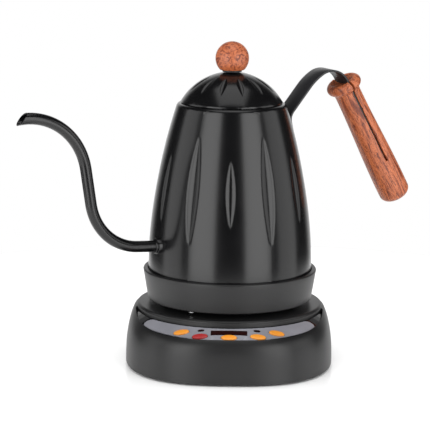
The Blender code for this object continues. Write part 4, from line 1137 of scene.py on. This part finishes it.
class KETTLE_OT_keys(BuildOperator, bpy.types.Operator):
    """Moulds one oval key and copies it to each place on the panel"""

    bl_idname = "kettle.keys"
    bl_label = "Keys and window"

    def execute(self, context):
        sizes = context.scene.base_sizes
        pattern = self.key(sizes)
        for joint in frame["joints"]:
            if not joint["name"].startswith("key_"):
                continue
            node = joint["child"].removesuffix("_cap")
            take(pattern)
            bpy.ops.object.duplicate()
            piece = bpy.context.object
            piece.name = piece.data.name = node + "_oval"
            low, high = BOXES[node]
            normal = -Vector(joint["axis"]).normalized()
            across = (Vector((1, 0, 0)) - normal * normal.x).normalized()
            frame_turn = Matrix((across, normal.cross(across), normal)).transposed().to_4x4()
            top = (low + high) / 2 + normal * sizes.key_length / 2
            red = node == "key_2"
            mount(
                piece,
                joint["child"],
                ["red_polycarbonate" if red else "amber_polycarbonate"],
                [node],
                place=Matrix.Translation(top) @ frame_turn,
            )
        bpy.data.objects.remove(pattern)
        return {"FINISHED"}

    def key(self, sizes):
        """An oval cap with a rounded edge and a slightly crowned top; z = 0 is its top."""
        wide, deep = sizes.key_half_x, sizes.key_half_y
        edge, crown = sizes.key_edge, sizes.key_crown
        stations = [(0, -sizes.key_skirt), (wide, -sizes.key_skirt)]
        stations += arc((wide - edge, -crown - edge), edge, 0, 90, 6)
        stations += [(wide / 2, -crown / 4), (0, 0)]
        piece = lathe("key", stations, 64)
        return settle(piece, Matrix.Diagonal((1, deep / wide, 1, 1)))


class KETTLE_OT_carried(BuildOperator, bpy.types.Operator):
    """Gives every carried-over CAD piece the finish of its material slot"""

    bl_idname = "kettle.carried"
    bl_label = "Carried-over pieces"

    def execute(self, context):
        for row in frame["record"]["subparts"]:
            piece = frame["nodes"][row["node"]]
            if piece.hide_render:
                continue
            for slot in piece.material_slots:
                slot.material = FINISHES[SLOT_FINISHES[row["material_slot"]]]
        return {"FINISHED"}


class KETTLE_OT_stage(BuildOperator, bpy.types.Operator):
    """Sets the floor, the lights and the camera"""

    bl_idname = "kettle.stage"
    bl_label = "Stage"

    def execute(self, context):
        stage = context.scene.kettle_stage
        self.floor(stage, context.scene.kettle_colours)
        self.sky(context.scene)
        for name, settings in LIGHTS.items():
            self.softbox(name, *settings)
        self.camera(stage)
        context.scene.view_settings.view_transform = "Standard"
        return {"FINISHED"}

    def floor(self, stage, colours):
        """A pale satin disc, large enough for the shadow and the reflection."""
        set_down()
        bpy.ops.mesh.primitive_circle_add(vertices=128, radius=stage.floor_radius, fill_type="NGON")
        floor = named("floor")
        material, shader, coords = finish("satin_floor", colours.floor, 0.18, ior=1.45)
        soft = noise(material, coords, FLOOR_PATCH)
        join(material, span(material, 0.14, 0.2, soft), shader, "Roughness")
        floor.data.materials.append(material)

    def sky(self, scene):
        """White to the eye, soft to matt surfaces, and dark in reflections but for the far side."""
        world = bpy.data.worlds.new("studio")
        scene.world = world
        world.use_nodes = True
        tree = world.node_tree
        shader = tree.nodes["Background"]
        path = add(world, "LightPath")
        coords = add(world, "TexCoord")
        parts = add(world, "SeparateXYZ", links={"Vector": coords.outputs["Generated"]})
        far = add(
            world,
            "MapRange",
            {"From Min": 0.75, "From Max": 0.95, "To Min": 0.02, "To Max": 1.0},
            {"Value": parts.outputs["Y"]},
        )
        shade = add(
            world,
            "Mix",
            {"data_type": "FLOAT", 2: 1.1},
            {0: path.outputs["Is Glossy Ray"], 3: far.outputs["Result"]},
        )
        seen = add(
            world,
            "Mix",
            {"data_type": "FLOAT", 3: 1.0},
            {0: path.outputs["Is Camera Ray"], 2: shade.outputs[0]},
        )
        tree.links.new(seen.outputs[0], shader.inputs["Strength"])
        shader.inputs["Color"].default_value = (1, 1, 1, 1)

    def softbox(self, name, azimuth, distance, height, size, power):
        """A soft area light that is aimed at the kettle."""
        angle = math.radians(azimuth)
        at = Vector((distance * math.sin(angle), -distance * math.cos(angle), height))
        aim = Vector(LIGHTS_AIM) - at
        set_down()
        facing = aim.to_track_quat("-Z", "Y").to_euler()
        bpy.ops.object.light_add(type="AREA", location=at, rotation=facing)
        light = bpy.context.object
        light.name = name
        light.data.shape = "RECTANGLE"
        light.data.size, light.data.size_y = size
        light.data.energy = power

    def camera(self, stage):
        """A long lens a little over the lid, looking slightly down."""
        look = Matrix.Rotation(math.pi / 2 - stage.pitch, 4, "X") @ Matrix.Rotation(stage.roll, 4, "Z")
        set_down()
        bpy.ops.object.camera_add()
        camera = bpy.context.object
        camera.matrix_world = Matrix.Translation((0, -stage.distance, stage.height)) @ look
        camera.data.lens = stage.lens
        camera.data.sensor_width = 36.0
        camera.data.shift_x = -stage.shift
        bpy.context.scene.camera = camera


class KETTLE_OT_finishes(BuildOperator, bpy.types.Operator):
    """Mixes every finish"""

    bl_idname = "kettle.finishes"
    bl_label = "Finishes"

    def execute(self, context):
        make_finishes(context.scene.kettle_colours, grip_place(context.scene.kettle_sizes))
        return {"FINISHED"}


STEPS = (
    KETTLE_OT_finishes,
    KETTLE_OT_body,
    KETTLE_OT_cup,
    KETTLE_OT_spout,
    KETTLE_OT_handle,
    KETTLE_OT_lid,
    KETTLE_OT_base,
    KETTLE_OT_keys,
    KETTLE_OT_carried,
    KETTLE_OT_stage,
)


class KETTLE_PT_panel(bpy.types.Panel):
    """Lists the kettle's pieces and sizes in the sidebar"""

    bl_idname = "KETTLE_PT_panel"
    bl_label = "Gooseneck Kettle"
    bl_space_type = "VIEW_3D"
    bl_region_type = "UI"
    bl_category = "Kettle"

    def draw(self, context):
        for step in STEPS:
            self.layout.operator(step.bl_idname)
        for group in ("kettle_sizes", "base_sizes", "kettle_colours", "kettle_stage"):
            settings = getattr(context.scene, group)
            box = self.layout.box()
            for name in settings.__annotations__:
                box.prop(settings, name)


GROUPS = {
    "kettle_sizes": KettleSizes,
    "base_sizes": BaseSizes,
    "kettle_colours": KettleColours,
    "kettle_stage": StageSettings,
}


def register():
    for group in GROUPS.values():
        bpy.utils.register_class(group)
    for step in STEPS:
        bpy.utils.register_class(step)
    bpy.utils.register_class(KETTLE_PT_panel)
    for name, group in GROUPS.items():
        setattr(bpy.types.Scene, name, PointerProperty(type=group))


def unregister():
    for name in GROUPS:
        delattr(bpy.types.Scene, name)
    bpy.utils.unregister_class(KETTLE_PT_panel)
    for step in reversed(STEPS):
        bpy.utils.unregister_class(step)
    for group in reversed(GROUPS.values()):
        bpy.utils.unregister_class(group)


def main():
    register()
    for step in STEPS:
        group, name = step.bl_idname.split(".")
        getattr(getattr(bpy.ops, group), name)()
    set_down()


if __name__ == "__main__":
    main()
